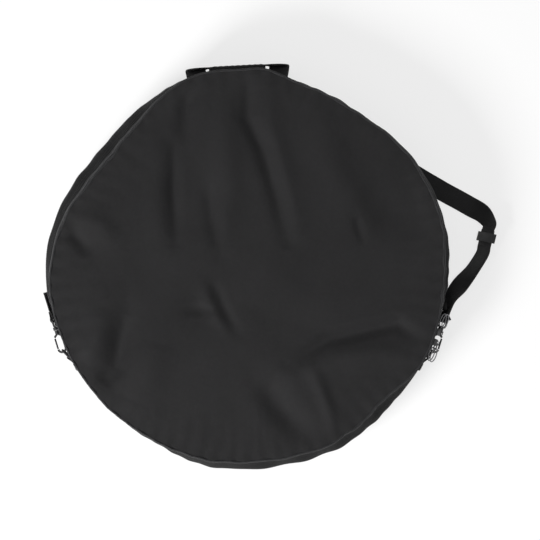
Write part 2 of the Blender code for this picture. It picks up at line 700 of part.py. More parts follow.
def make_side_hardware(label, side):
    """Side tab, D-ring, snap hook, gate, swivel eye and strap end of one side."""
    bar_radius = BAG_RADIUS + RING_BAR_OFFSET
    bar = polar(bar_radius, RING_AZIMUTH, HARDWARE_HEIGHT)
    tangent, out = along_wall(RING_AZIMUTH), outward(RING_AZIMUTH)

    # Tab: a patch on the wall that ends in a roll round the ring's bar
    bar_angle = RING_AZIMUTH
    patch_span = (bar_angle - (TAB_PATCH_LENGTH + ROLL_RADIUS) / BAG_RADIUS, bar_angle)
    if side < 0:
        bar_angle = math.pi - RING_AZIMUTH
        patch_span = (bar_angle, bar_angle + (TAB_PATCH_LENGTH + ROLL_RADIUS) / BAG_RADIUS)
    low = HARDWARE_HEIGHT - TAB_PATCH_HEIGHT / 2
    high = HARDWARE_HEIGHT + TAB_PATCH_HEIGHT / 2
    patch = rectangle(BAG_RADIUS + GAP, BAG_RADIUS + GAP + TAB_PATCH_THICKNESS, low, high)
    tab = sector("side_tab_" + label, patch, patch_span, WEBBING)
    centre = Vector((bar.x * side, bar.y, bar.z))
    upright = Matrix.Translation(centre)
    roll = cylinder("roll_" + label, ROLL_RADIUS, TAB_PATCH_HEIGHT * 0.8, upright, collection=CUTTERS)
    bore_radius = RING_WIRE_RADIUS + 2 * GAP
    bore = cylinder("bore_" + label, bore_radius, 2 * RING_WIDTH, upright, collection=CUTTERS)
    boolean(tab, roll, "UNION")
    boolean(tab, bore)

    # D-ring: a straight bar in the roll and a round bow that leans outward
    lean = tangent * math.cos(RING_TILT) + out * math.sin(RING_TILT)
    bow = RING_LENGTH - RING_WIRE_RADIUS
    half = RING_WIDTH / 2 - RING_WIRE_RADIUS
    shape = [(0, -half), (0, half)]
    for step in range(9):
        turn = math.pi / 2 - math.pi * step / 8
        reach = bow * 0.25 + bow * 0.75 * math.cos(turn) ** 0.8 if math.cos(turn) > GAP else bow * 0.25
        shape.append((reach, half * math.sin(turn)))
    ring = [side_point(side, bar, lean, out, s, 0, z) for s, z in shape]
    wire("d_ring_" + label, ring, RING_WIRE_RADIUS, HARDWARE, cyclic=True)

    # Snap hook: an oval with a gap that the gate closes, in a level plane
    arc_place = bar + lean * bow
    direction, across = along_wall(HOOK_AZIMUTH), outward(HOOK_AZIMUTH)

    def at(s, v, z=0.0):
        return side_point(side, arc_place, direction, across, s, v, z)

    half_width = HOOK_WIDTH / 2
    tail = -HOOK_BITE + half_width
    head = HOOK_LENGTH - HOOK_BITE
    oval = []
    for step in range(9):
        turn = math.pi / 2 + math.pi * step / 8
        oval.append((tail + half_width * math.cos(turn), half_width * math.sin(turn)))
    shoulder = tail + GATE_LENGTH + 4 * GATE_RADIUS
    oval += [(shoulder, -half_width), (head - half_width * 0.4, -half_width * 0.6), (head, 0)]
    oval += [(head - half_width * 0.4, half_width * 0.6), (shoulder, half_width)]
    hook_points = [at(s, v) for s, v in oval]
    hook = wire("snap_hook_" + label, hook_points, HOOK_WIRE_RADIUS, HARDWARE)
    long_axis = (at(1, 0) - at(0, 0)).normalized()
    neck_frame = placed(at(head + NECK_LENGTH / 2, 0), UP, long_axis)
    neck = cylinder("neck_" + label, NECK_RADIUS, NECK_LENGTH, neck_frame, collection=CUTTERS)
    boolean(hook, neck, "UNION")
    gate_start = tail + HOOK_WIRE_RADIUS * 0.5
    gate_end = shoulder - HOOK_WIRE_RADIUS
    gate_points = [at(gate_start, half_width), at(gate_end, half_width)]
    wire("hook_gate_" + label, gate_points, GATE_RADIUS, LOOP_METAL, resolution=2)

    # Swivel eye: a collar behind the neck and a frame for the strap
    collar_start = head + NECK_LENGTH + GAP
    collar_frame = placed(at(collar_start + COLLAR_LENGTH / 2, 0), UP, long_axis)
    collar = cylinder("swivel_collar_" + label, COLLAR_RADIUS, COLLAR_LENGTH, collar_frame,
                      collection=CUTTERS)
    eye_start = collar_start + COLLAR_LENGTH
    half_eye = EYE_WIDTH / 2 - EYE_WIRE_RADIUS
    corner = EYE_LENGTH * 0.3
    near, far = eye_start + EYE_WIRE_RADIUS * 0.5, eye_start + EYE_LENGTH
    eye_shape = [(near, half_eye - corner), (near + corner, half_eye), (far, half_eye)]
    eye_shape += [(far, -half_eye), (near + corner, -half_eye), (near, corner - half_eye)]
    eye_lean = EYE_LEAN if side > 0 else math.pi / 2
    eye_points = [at(s, w * math.cos(eye_lean), w * math.sin(eye_lean)) for s, w in eye_shape]
    eye = wire("swivel_eye_" + label, eye_points, EYE_WIRE_RADIUS, HARDWARE, cyclic=True)
    boolean(eye, collar, "UNION")

    # Strap end: webbing folded round the eye's far bar and stitched to itself
    end_centre = at(far + STRAP_END_LENGTH / 2 - STRAP_END_LAYERS / 2, 0)
    wide_axis = (at(0, math.cos(eye_lean), math.sin(eye_lean)) - at(0, 0)).normalized()
    end = box("strap_end_" + label, (STRAP_END_LENGTH, STRAP_WIDTH, STRAP_END_LAYERS),
              placed(end_centre, long_axis, long_axis.cross(wide_axis)), WEBBING)
    bar_place = at(far, 0)
    eye_bore = cylinder("eye_bore_" + label, EYE_WIRE_RADIUS + 2 * GAP, 2 * EYE_WIDTH,
                        placed(bar_place, long_axis, wide_axis), collection=CUTTERS)
    boolean(end, eye_bore)
    if side < 0:
        make_riser(at, far + STRAP_END_LENGTH - STRAP_END_LAYERS / 2 + RISER_GAP, long_axis)


def make_riser(at, start, long_axis):
    """Webbing that climbs from the floor to the left hook, folded at its upper end."""
    foot = STRAP_LIFT + STRAP_THICKNESS + GAP
    top = HARDWARE_HEIGHT + STRAP_WIDTH / 2
    centre = at(start + STRAP_WIDTH / 2, 0)
    centre.z = (foot + top) / 2
    size = (STRAP_WIDTH, STRAP_THICKNESS, top - foot)
    box("strap_riser", size, placed(centre, long_axis, UP), WEBBING)


def route_points(shares, thickness=STRAP_THICKNESS):
    """Smooth centre points and leans; webbing without a rise touches the floor."""
    centres, leans = [], []
    for x, y, rise, lean_share in smooth_route(shares):
        lean = lean_share * math.pi / 2
        resting = STRAP_LIFT + STRAP_WIDTH / 2 * math.sin(lean) + thickness / 2 * math.cos(lean)
        centres.append(Vector((x * BAG_RADIUS, y * BAG_RADIUS, resting + rise * BAG_RADIUS)))
        leans.append(lean)
    return centres, leans


def make_strap():
    """Shoulder strap from the left hook, under the bag and round to the right hook."""
    centres, leans = route_points(UNDER_ROUTE_SHARES)
    ribbon("strap_under", centres, leans, STRAP_WIDTH, STRAP_THICKNESS, WEBBING)
    for name, shares in (("strap_outer", OUTER_ROUTE_SHARES), ("strap_turn", TURN_ROUTE_SHARES)):
        centres, leans = route_points(shares)
        ribbon(name, centres, leans, STRAP_WIDTH, STRAP_THICKNESS, WEBBING)
    centres, leans = route_points(LOWER_ROUTE_SHARES, LOWER_LAYERS)
    ribbon("strap_lower", centres, leans, STRAP_WIDTH, LOWER_LAYERS, WEBBING)

    # The adjuster is a frame round the straight start of the doubled webbing
    along = (centres[ROUTE_STEPS] - centres[0]).normalized()
    level = UP.cross(along).normalized()
    across = level * math.cos(leans[0]) + along.cross(level) * math.sin(leans[0])
    matrix = placed(centres[0] + along * ADJUSTER_PLACE, along, along.cross(across))
    adjuster = box(
        "strap_adjuster",
        (ADJUSTER_LENGTH, ADJUSTER_WIDTH, ADJUSTER_DEPTH),
        matrix,
        HARDWARE,
    )
    opening_size = (
        2 * ADJUSTER_LENGTH,
        STRAP_WIDTH + 4 * GAP,
        LOWER_LAYERS + 8 * GAP,
    )
    boolean(adjuster, box("adjuster_slot", opening_size, matrix, collection=CUTTERS))


def make_groove():
    """Cutter for the space that the strap presses into the padding above it."""
    centres, leans = route_points(UNDER_ROUTE_SHARES + OUTER_ROUTE_SHARES[1:])
    thickness = STRAP_THICKNESS + 2 * GROOVE_CLEARANCE + 2 * STRAP_LIFT
    return ribbon(
        "strap_groove", centres, leans, STRAP_WIDTH + 2 * GROOVE_CLEARANCE, thickness, None, CUTTERS
    )


def main():
    groove = make_groove()
    make_rear_half(groove)
    make_zips()
    make_front_half()
    make_sliders()
    make_handle()
    make_side_hardware("right", 1)
    make_side_hardware("left", -1)
    make_strap()
    for cutter in CUTTERS.objects:
        cutter.hide_render = True
        cutter.display_type = "WIRE"


main()
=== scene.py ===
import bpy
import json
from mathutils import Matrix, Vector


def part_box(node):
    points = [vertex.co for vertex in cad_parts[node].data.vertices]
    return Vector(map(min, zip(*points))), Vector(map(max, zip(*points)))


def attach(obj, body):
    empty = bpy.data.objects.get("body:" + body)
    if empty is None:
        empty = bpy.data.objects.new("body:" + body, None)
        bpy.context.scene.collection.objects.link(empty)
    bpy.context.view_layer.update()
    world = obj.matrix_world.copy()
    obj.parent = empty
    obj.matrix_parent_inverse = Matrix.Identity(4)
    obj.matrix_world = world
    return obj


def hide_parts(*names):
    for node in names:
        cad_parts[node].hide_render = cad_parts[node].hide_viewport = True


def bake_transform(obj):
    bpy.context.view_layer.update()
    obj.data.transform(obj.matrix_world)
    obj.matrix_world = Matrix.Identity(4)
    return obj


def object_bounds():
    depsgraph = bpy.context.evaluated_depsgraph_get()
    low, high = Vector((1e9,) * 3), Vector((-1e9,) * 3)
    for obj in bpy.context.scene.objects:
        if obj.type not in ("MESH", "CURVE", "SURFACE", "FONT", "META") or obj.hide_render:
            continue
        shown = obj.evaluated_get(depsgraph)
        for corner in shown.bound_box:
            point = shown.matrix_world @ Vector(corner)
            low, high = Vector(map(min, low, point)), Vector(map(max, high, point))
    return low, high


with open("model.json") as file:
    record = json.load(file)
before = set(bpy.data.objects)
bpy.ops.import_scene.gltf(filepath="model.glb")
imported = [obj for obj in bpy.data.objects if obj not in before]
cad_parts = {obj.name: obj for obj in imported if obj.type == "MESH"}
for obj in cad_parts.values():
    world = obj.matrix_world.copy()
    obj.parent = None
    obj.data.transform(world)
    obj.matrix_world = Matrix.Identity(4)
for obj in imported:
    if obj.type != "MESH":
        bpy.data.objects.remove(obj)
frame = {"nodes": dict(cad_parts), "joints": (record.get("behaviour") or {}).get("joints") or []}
CAD_BOX = [list(corner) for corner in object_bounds()]

# Looks of the round bag: sewn fabric, zips, webbing and metal pieces round the fixed frame.
# Lengths are in metres. Angles run counter-clockwise about Z from +X, in degrees where a table holds them.

import json
import math

import bmesh
import bpy
import numpy as np
from mathutils import Vector

UP = Vector((0, 0, 1))
JOINTS = {joint["name"]: joint for joint in frame["joints"]}


def low(node):
    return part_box(node)[0]


def high(node):
    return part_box(node)[1]


def joint_place(name):
    return Vector(JOINTS[name]["pos_m"])


def joint_axis(name):
    return Vector(JOINTS[name]["axis"])


# Places read from the frame
BAG_RADIUS = high("rear_gusset").x
FOLD_Y = joint_place("middle_flap_fold").y
REAR_WALL = (low("rear_gusset").z, high("rear_gusset").z)
REAR_ZIP = (high("rear_zip_tape_lower").z + low("rear_zip_tape_upper").z) / 2
FRONT_ZIP = (high("front_zip_tape_lower").z + low("front_zip_tape_upper").z) / 2
FRONT_WALL = (low("front_gusset_flap").z, high("front_gusset_flap").z)
PIPING_RADIUS = (high("front_piping_flap").z - low("front_piping_flap").z) / 2
FRONT_PIPING_Z = high("front_piping_flap").z - PIPING_RADIUS
REAR_PIPING_Z = (high("rear_piping").z + low("rear_piping").z) / 2
PANEL_TOP_Z = high("front_panel_flap").z
DIVIDER_Z = (low("divider_flap").z + high("divider_flap").z) / 2
TAPE_HEIGHT = high("rear_zip_tape_upper").z - low("rear_zip_tape_upper").z
HANDLE_AXIS = joint_axis("handle_swing")

# Angles: the flaps between the ends of the fold line, the part below it, and where the zips' closed ends stop
FLAP_START = math.degrees(math.asin(FOLD_Y / BAG_RADIUS))
FLAP_END = 180 - FLAP_START
BASE_START, BASE_END = FLAP_END, 360 + FLAP_START
ZIP_END_LAP = 0.2
ZIP_END_CORNER = low("rear_zip_end_right")
ZIP_END_ANGLE = math.degrees(math.atan2(ZIP_END_CORNER.y, ZIP_END_CORNER.x)) - ZIP_END_LAP
END_START, END_END = 180 - ZIP_END_ANGLE, 360 + ZIP_END_ANGLE

# Cloth and webbing
CLOTH = 0.0016
TAPE_CLOTH = 0.001
STITCH = 0.0034
WEBBING_WIDTH = 0.038

# Outline of the closed bag: angle and share of the radius, level where hardware sits
OUTLINE_SHARES = (
    (0, 1.018), (12, 1.028), (26, 1.021), (38, 1.010), (54, 0.984), (66, 0.988), (76, 0.997), (80, 1.007),
    (85, 1.0225), (93, 1.0125), (101, 1.0225), (107, 1.028), (113, 1.020), (121, 1.001), (132, 0.980),
    (140, 0.972), (150, 0.985), (162, 1.011), (173, 1.024), (188, 1.018), (194, 1.006), (199, 0.998),
    (207, 0.995), (213, 0.991), (220, 0.989), (244, 0.991), (257, 1.011), (270, 1.003), (284, 1.000),
    (294, 1.007), (308, 1.001), (320, 0.991), (330, 0.997), (344, 0.998), (352, 1.007),
)

# How far the front panel's edge lies inside the wall, by angle, and the height where the wall starts to lean
INSET = (
    (0, 0.012), (20, 0.008), (45, 0.006), (65, 0.006), (76, 0.005), (84, 0.0015), (102, 0.0015),
    (115, 0.013), (130, 0.026), (150, 0.028), (168, 0.020), (184, 0.010), (198, 0.004), (212, 0.004),
    (240, 0.008), (258, 0.018), (276, 0.018), (296, 0.018), (318, 0.020), (330, 0.006), (338, 0.003),
    (346, 0.005),
)
INSET_START = 0.074

# Waves of the wall, and where it lies calm beside the hardware and the handle: middle and half width
PUCKER_HEIGHT = 0.0008
SWELL_HEIGHT = 0.0009
CALM_PLACES = ((336.5, 9.0), (206.0, 9.0), (93.0, 13.0))
CALM_FADE = 8

# Folds in the front panel: points and width as shares of the radius, and height in metres
FOLDS = (
    (((0.01, 0.96), (0.00, 0.77), (0.08, 0.61), (0.15, 0.37), (0.20, 0.16)), 0.040, -0.0111),
    (((0.10, 0.92), (0.12, 0.72), (0.18, 0.50), (0.26, 0.20)), 0.050, 0.0048),
    (((-0.12, 0.93), (-0.11, 0.62), (-0.10, 0.40), (-0.13, 0.20)), 0.070, 0.0072),
    (((-0.37, 0.64), (-0.37, 0.40), (-0.36, 0.15)), 0.028, -0.0065),
    (((-0.45, 0.68), (-0.46, 0.38), (-0.44, 0.12)), 0.060, 0.0048),
    (((-0.28, 0.95), (-0.31, 0.82), (-0.32, 0.62)), 0.045, -0.0084),
    (((-0.20, 0.46), (-0.18, 0.28), (-0.14, 0.08)), 0.034, -0.0052),
    (((-0.17, -0.06), (-0.11, -0.20), (-0.05, -0.31)), 0.024, -0.0042),
    (((-0.23, -0.06), (-0.18, -0.18), (-0.12, -0.28)), 0.035, 0.0046),
    (((-0.33, -0.19), (-0.14, -0.19)), 0.025, -0.0036),
    (((-0.72, -0.16), (-0.76, -0.34), (-0.84, -0.46)), 0.070, 0.0084),
    (((-0.60, -0.20), (-0.64, -0.36), (-0.66, -0.48), (-0.75, -0.57)), 0.050, -0.0091),
    (((-0.46, -0.34), (-0.50, -0.52), (-0.56, -0.66)), 0.090, 0.0060),
    (((0.20, -0.46), (0.40, -0.34), (0.62, -0.29), (0.75, -0.26), (0.85, -0.33)), 0.034, -0.0101),
    (((0.24, -0.54), (0.44, -0.44), (0.66, -0.40), (0.84, -0.42)), 0.055, 0.0086),
    (((0.32, -0.48), (0.38, -0.62), (0.44, -0.80)), 0.030, 0.0058),
    (((0.06, -0.54), (0.16, -0.68), (0.31, -0.84)), 0.066, -0.0115),
    (((-0.94, 0.26), (-0.86, 0.18), (-0.78, 0.08)), 0.036, -0.0075),
    (((-0.86, 0.30), (-0.74, 0.24), (-0.66, 0.14)), 0.055, 0.0048),
    (((0.55, 0.42), (0.72, 0.30), (0.90, 0.20)), 0.110, -0.0059),
    (((0.36, 0.82), (0.44, 0.52), (0.60, 0.24)), 0.085, 0.0050),
    (((0.54, 0.28), (0.58, 0.14)), 0.020, -0.0039),
)
FOLD_FADE = 0.6
FOLD_TIPS = (0.04, 0.96)
RIPPLE_HEIGHT = 0.0011

# The shoulder strap's routes, as the frame has them: x, y and rise as shares of the radius, and its lean
STRAP_LIFT = 0.0004
STRAP_THICKNESS = 0.0022
LOWER_LAYERS = 0.0046
UNDER_ROUTE = tuple((x, y, 0, 0) for x, y in (
    (-1.036, -0.156), (-0.97, -0.135), (-0.88, -0.09), (-0.72, 0.07), (-0.5, 0.33), (-0.2, 0.56),
    (0.15, 0.67), (0.5, 0.655), (0.75, 0.56), (0.93, 0.458),
))
OUTER_ROUTE = (
    (1.013, 0.41, 0, 0), (1.085, 0.371, 0, 0), (1.15, 0.334, 0, 0.05), (1.207, 0.299, 0.004, 0.3),
    (1.241, 0.25, 0.014, 0.6), (1.2348, 0.221, 0.014, 0.65), (1.2227, 0.1727, 0.014, 0.65),
)
LOWER_ROUTE = (
    (1.233, 0.214, 0.014, 0.65), (1.2227, 0.1727, 0.014, 0.65), (1.2123, 0.1313, 0.014, 0.65),
    (1.202, 0.09, 0.014, 0.65), (1.15, 0.008, 0.018, 0.62), (1.085, -0.072, 0.028, 0.45),
    (1.036, -0.14, 0.04, 0.68), (1.0163, -0.1985, 0.042, 0.82), (1.0144, -0.2041, 0.042, 0.82),
)
ROUTE_STEPS = 12


def periodic(table, degrees):
    """Smooth closed curve through a table of (angle, value), read at angles in degrees."""
    angles = np.array([row[0] for row in table], float)
    values = np.array([row[1] for row in table], float)
    angles = np.concatenate([angles - 360, angles, angles + 360])
    values = np.tile(values, 3)
    slopes = np.gradient(values, angles)
    at = np.mod(np.asarray(degrees, float), 360)
    index = np.clip(np.searchsorted(angles, at, side="right") - 1, 0, len(angles) - 2)
    gap = angles[index + 1] - angles[index]
    t = (at - angles[index]) / gap
    first, last = values[index], values[index + 1]
    return ((1 + 2 * t) * (1 - t) ** 2 * first + t * (1 - t) ** 2 * gap * slopes[index]
            + t * t * (3 - 2 * t) * last + t * t * (t - 1) * gap * slopes[index + 1])


def smoothstep(low_edge, high_edge, value):
    t = np.clip((value - low_edge) / (high_edge - low_edge), 0, 1)
    return t * t * (3 - 2 * t)


def calm(degrees):
    """One on free cloth, falling to zero beside the hardware and the handle."""
    degrees = np.mod(np.asarray(degrees, float), 360)
    free = np.ones_like(degrees)
    for centre, half in CALM_PLACES:
        free = free * smoothstep(half, half + CALM_FADE, np.abs(degrees - centre))
    return free


def wrinkle(degrees, z):
    """Small waves of the wall: upright puckers gathered by the seams, and slow swells."""
    t = np.radians(degrees)
    pucker = np.sin(61 * t + 9 * np.sin(3 * t + 1)) * (0.6 + 0.4 * np.sin(7 * t + 2))
    swell = np.sin(17 * t + 60 * z + 3 * np.sin(5 * t)) + 0.6 * np.sin(29 * t - 80 * z + 1.3)
    return (PUCKER_HEIGHT * pucker + SWELL_HEIGHT * swell) * calm(degrees)


def wall_radius(degrees, z):
    """Radius of the cloth wall at an angle and a height."""
    silhouette = BAG_RADIUS * periodic(OUTLINE_SHARES, degrees)
    inset = periodic(INSET, degrees) * smoothstep(INSET_START, FRONT_PIPING_Z, z)
    return silhouette - inset + wrinkle(degrees, z)


def wall_radius_at(degrees, height):
    """Radii of the wall at many angles and one height."""
    return wall_radius(degrees, np.full_like(np.asarray(degrees, float), height))


def wall_points(degrees, heights, offset=0.0):
    """Points on the wall, angles along the first axis and heights along the second."""
    degrees, z = np.meshgrid(degrees, heights, indexing="ij")
    return round_the_wall(degrees, wall_radius(degrees, z) + offset, z)


def round_the_wall(degrees, radius, z):
    t = np.radians(degrees)
    return np.stack([radius * np.cos(t), radius * np.sin(t), z], axis=-1)


# Materials


class Nodes:
    """Short way to add nodes to a material or the world."""

    def __init__(self, owner, shader="Principled BSDF"):
        owner.use_nodes = True
        self.owner = owner
        self.tree = owner.node_tree
        self.shader = self.tree.nodes[shader]

    def add(self, kind, inputs=None, **settings):
        node = self.tree.nodes.new(kind)
        for key, value in settings.items():
            setattr(node, key, value)
        for key, value in (inputs or {}).items():
            if isinstance(value, bpy.types.NodeSocket):
                self.tree.links.new(value, node.inputs[key])
            else:
                node.inputs[key].default_value = value
        return node

    def link(self, output, socket):
        self.tree.links.new(output, self.shader.inputs[socket])

    def set(self, **sockets):
        """Set the shader's own sockets, with spaces in their names written as underscores."""
        for key, value in sockets.items():
            self.shader.inputs[key.replace("_", " ")].default_value = value

    def place(self):
        return self.add("ShaderNodeTexCoord").outputs["Object"]

    def cloth_axes(self):
        """Coordinates across and along the cloth, in metres."""
        cloth = self.add("ShaderNodeUVMap", uv_map="cloth").outputs["UV"]
        return self.add("ShaderNodeSeparateXYZ", {"Vector": cloth}).outputs

    def math(self, operation, first, second=0.0):
        return self.add("ShaderNodeMath", {0: first, 1: second}, operation=operation).outputs[0]

    def blend(self, first, first_share, second, second_share):
        """Sum of two values, each times its share."""
        first = self.math("MULTIPLY", first, first_share)
        return self.math("ADD", first, self.math("MULTIPLY", second, second_share))

    def thread_wave(self, coordinate, pitch):
        """Sine over a coordinate in metres, from 0 to 1."""
        turns = self.math("MULTIPLY", coordinate, 2 * math.pi / pitch)
        return self.math("MULTIPLY", self.math("ADD", self.math("SINE", turns), 1.0), 0.5)

    def noise(self, vector, scale, detail=3.0, rough=0.5, distortion=0.0):
        sockets = {"Vector": vector, "Scale": scale, "Detail": detail, "Roughness": rough,
                   "Distortion": distortion}
        return self.add("ShaderNodeTexNoise", sockets).outputs["Fac"]

    def ramp(self, value, low_value, high_value, low_color, high_color):
        ramp = self.add("ShaderNodeValToRGB", {"Fac": value})
        stops = zip(ramp.color_ramp.elements, (low_value, high_value), (low_color, high_color))
        for element, position, color in stops:
            element.position = position
            element.color = (*color, 1)
        return ramp.outputs["Color"]

    def remap(self, value, from_low, from_high, to_low, to_high):
        sockets = {"Value": value, "From Min": from_low, "From Max": from_high,
                   "To Min": to_low, "To Max": to_high}
        return self.add("ShaderNodeMapRange", sockets).outputs["Result"]

    def bump(self, height, distance, below=None):
        inputs = {"Height": height, "Distance": distance, "Strength": 1.0}
        if below:
            inputs["Normal"] = below
        return self.add("ShaderNodeBump", inputs).outputs["Normal"]

    def finish(self, color, rough, normal, **sockets):
        """Link the shader's colour, roughness (value, least, most) and normal, and set its other sockets."""
        self.link(color, "Base Color")
        self.link(self.remap(rough[0], 0.3, 0.7, *rough[1:]), "Roughness")
        self.link(normal, "Normal")
        self.set(**sockets)
        return self.owner


def tone(color, factor):
    return tuple(channel * factor for channel in color)


def grey(value):
    return (value, value, value)


def new_material(name):
    return Nodes(bpy.data.materials.new(name))


def cloth_material(name, color, pitch=0.0011, rough=0.62, sheen=0.05, crumple=0.0011, specular=0.16):
    """Coated plain weave with soft crumples, wear and a faint sheen."""
    nodes = new_material(name)
    place = nodes.place()
    axes = nodes.cloth_axes()
    weave = nodes.math("MULTIPLY", nodes.thread_wave(axes["X"], pitch), nodes.thread_wave(axes["Y"], pitch))
    patches = nodes.noise(place, scale=5.0, detail=4.0, rough=0.55, distortion=0.6)
    dust = nodes.noise(place, scale=180.0, detail=2.0, rough=0.6)
    wear = nodes.blend(patches, 0.75, dust, 0.35)
    base = nodes.ramp(wear, 0.35, 0.75, tone(color, 0.78), tone(color, 1.25))
    thread = nodes.ramp(weave, 0.05, 0.6, grey(0.86), grey(1.08))
    woven = nodes.add("ShaderNodeMix", {"Factor": 1.0, "A": base, "B": thread}, data_type="RGBA",
                      blend_type="MULTIPLY").outputs["Result"]
    soft = nodes.bump(nodes.noise(place, scale=6.0, detail=2.0, rough=0.45, distortion=0.2), crumple * 6)
    fine = nodes.noise(place, scale=38.0, detail=2.0, rough=0.45, distortion=0.2)
    normal = nodes.bump(weave, pitch * 0.22, nodes.bump(fine, crumple * 0.6, soft))
    return nodes.finish(woven, (patches, rough - 0.07, rough + 0.08), normal,
                        Sheen_Weight=sheen, Sheen_Roughness=0.45, Specular_IOR_Level=specular)


def webbing_material(name, color, rib=0.0026, weft=0.0011, rough=0.6):
    """Flat webbing: ribs along its length crossed by fine weft, with worn patches."""
    nodes = new_material(name)
    place = nodes.place()
    axes = nodes.cloth_axes()
    skewed = nodes.math("ADD", axes["Y"], nodes.math("MULTIPLY", axes["X"], 0.6))
    weave = nodes.blend(nodes.thread_wave(axes["X"], rib), 0.7, nodes.thread_wave(skewed, weft), 0.3)
    patches = nodes.noise(place, scale=14.0, detail=4.0, rough=0.6, distortion=0.3)
    wear = nodes.blend(patches, 0.6, weave, 0.3)
    base = nodes.ramp(wear, 0.25, 0.75, tone(color, 0.68), tone(color, 1.35))
    normal = nodes.bump(weave, 0.0005, nodes.bump(nodes.noise(place, scale=30.0), 0.0012))
    return nodes.finish(base, (patches, rough - 0.08, rough + 0.1), normal,
                        Sheen_Weight=0.06, Sheen_Roughness=0.4, Specular_IOR_Level=0.2)


def metal_material(name, color, worn, rough, metallic=0.0, coat=0.0):
    """Lacquered or bare metal with fine pits and brighter worn spots."""
    nodes = new_material(name)
    place = nodes.place()
    smear = nodes.noise(place, scale=60.0, detail=4.0, rough=0.6, distortion=0.8)
    base = nodes.ramp(smear, 0.42, 0.78, color, worn)
    normal = nodes.bump(nodes.noise(place, scale=420.0, rough=0.6), 0.00012)
    return nodes.finish(base, (smear, rough - 0.08, rough + 0.12), normal,
                        Metallic=metallic, Coat_Weight=coat, Coat_Roughness=0.25)


SHELL = cloth_material("shell_cloth", (0.0158, 0.0155, 0.0161), sheen=0.02, specular=0.12)
# Wall cloth: the shell fabric made darker, as painted shade on the steep wall band; the real wall is the same
# cloth as the panels
WALL_SHADE_CLOTH = cloth_material("wall_cloth_painted_shade", (0.0088, 0.0086, 0.0090), sheen=0.0, specular=0.07)
LINING = cloth_material("lining_cloth", (0.056, 0.056, 0.060), pitch=0.0009, rough=0.48, crumple=0.0034)
PIPING = cloth_material("piping_cloth", (0.021, 0.021, 0.022), pitch=0.0008, rough=0.45, sheen=0.02,
                        crumple=0.0003)
TAPE = cloth_material("zip_tape_cloth", (0.020, 0.020, 0.021), pitch=0.0008, crumple=0.0003)
WEB = webbing_material("strap_webbing", (0.0175, 0.0172, 0.0180))
THREAD = cloth_material("sewing_thread", (0.045, 0.045, 0.048), pitch=0.0004, rough=0.5, crumple=0.0001)
COIL = metal_material("coil_nylon", (0.030, 0.030, 0.032), (0.050, 0.050, 0.053), rough=0.34)
SLIDER = metal_material("slider_lacquer", (0.03, 0.03, 0.031), (0.11, 0.11, 0.115), rough=0.36,
                        metallic=0.6, coat=0.3)
LOOP = metal_material("pull_wire", (0.13, 0.13, 0.135), (0.26, 0.26, 0.27), rough=0.36, metallic=0.6)
HOOK = metal_material("hook_lacquer", (0.010, 0.010, 0.011), (0.030, 0.030, 0.032), rough=0.38,
                      metallic=0.2, coat=0.15)
BUCKLE = metal_material("buckle_plastic", (0.007, 0.007, 0.0075), (0.013, 0.013, 0.014), rough=0.5)
BOARD = metal_material("stiffener_board", grey(0.05), grey(0.09), rough=0.6)


# Mesh helpers


def link_object(name, data, *materials):
    item = bpy.data.objects.new(name, data)
    bpy.context.scene.collection.objects.link(item)
    for material in materials:
        data.materials.append(material)
    return item


def apply_modifiers(item):
    """Replace the object's mesh by what its modifiers make of it."""
    bpy.context.view_layer.update()
    graph = bpy.context.evaluated_depsgraph_get()
    mesh = bpy.data.meshes.new_from_object(item.evaluated_get(graph))
    item.modifiers.clear()
    item.data = mesh


def shade(mesh, angle):
    mesh.shade_smooth()
    mesh.set_sharp_from_angle(angle=math.radians(angle))


def mend(mesh, fill=False, merge=0.0):
    """Merge close points and close open ends if asked, and turn all faces outward."""
    bm = bmesh.new()
    bm.from_mesh(mesh)
    if merge:
        bmesh.ops.remove_doubles(bm, verts=bm.verts, dist=merge)
    if fill:
        bmesh.ops.holes_fill(bm, edges=[edge for edge in bm.edges if edge.is_boundary])
    bmesh.ops.recalc_face_normals(bm, faces=bm.faces)
    bm.to_mesh(mesh)
    bm.free()


def cloth_mesh(name, points, faces, pairs):
    """Mesh with cloth coordinates, one pair in metres for each vertex."""
    mesh = bpy.data.meshes.new(name)
    mesh.from_pydata(points, [], faces)
    layer = mesh.uv_layers.new(name="cloth")
    corners = np.empty(len(mesh.loops), dtype=np.int64)
    mesh.loops.foreach_get("vertex_index", corners)
    layer.uv.foreach_set("vector", np.asarray(pairs, np.float32)[corners].ravel())
    return mesh


def grid_faces(rows, columns, closed_rows=False, closed_columns=False):
    """Quads of a grid of points stored row by row."""
    faces = []
    for row in range(rows if closed_rows else rows - 1):
        here, ahead = row * columns, (row + 1) % rows * columns
        for column in range(columns if closed_columns else columns - 1):
            other = (column + 1) % columns
            faces.append((here + column, ahead + column, ahead + other, here + other))
    return faces


def grid_object(name, points, pairs, materials, closed_rows=False, closed_columns=False):
    faces = grid_faces(*points.shape[:2], closed_rows, closed_columns)
    mesh = cloth_mesh(name, points.reshape(-1, 3).tolist(), faces, pairs.reshape(-1, 2))
    return link_object(name, mesh, *materials)


def thicken(item, thickness):
    """Give a sheet its thickness inward, with the second material on the inner side."""
    solid = item.modifiers.new("thickness", "SOLIDIFY")
    solid.thickness = thickness
    solid.offset = -1
    solid.material_offset = 1
    apply_modifiers(item)
    shade(item.data, 50)


def join(name, items):
    """One object from several that share their materials."""
    bm = bmesh.new()
    for item in items:
        bm.from_mesh(item.data)
    mesh = bpy.data.meshes.new(name)
    bm.to_mesh(mesh)
    bm.free()
    joined = link_object(name, mesh, *items[0].data.materials)
    shade(mesh, 60)
    for item in items:
        bpy.data.objects.remove(item, do_unlink=True)
    return joined


def copy_of(item, name):
    other = item.copy()
    other.data = item.data.copy()
    other.name = name
    bpy.context.scene.collection.objects.link(other)
    return other


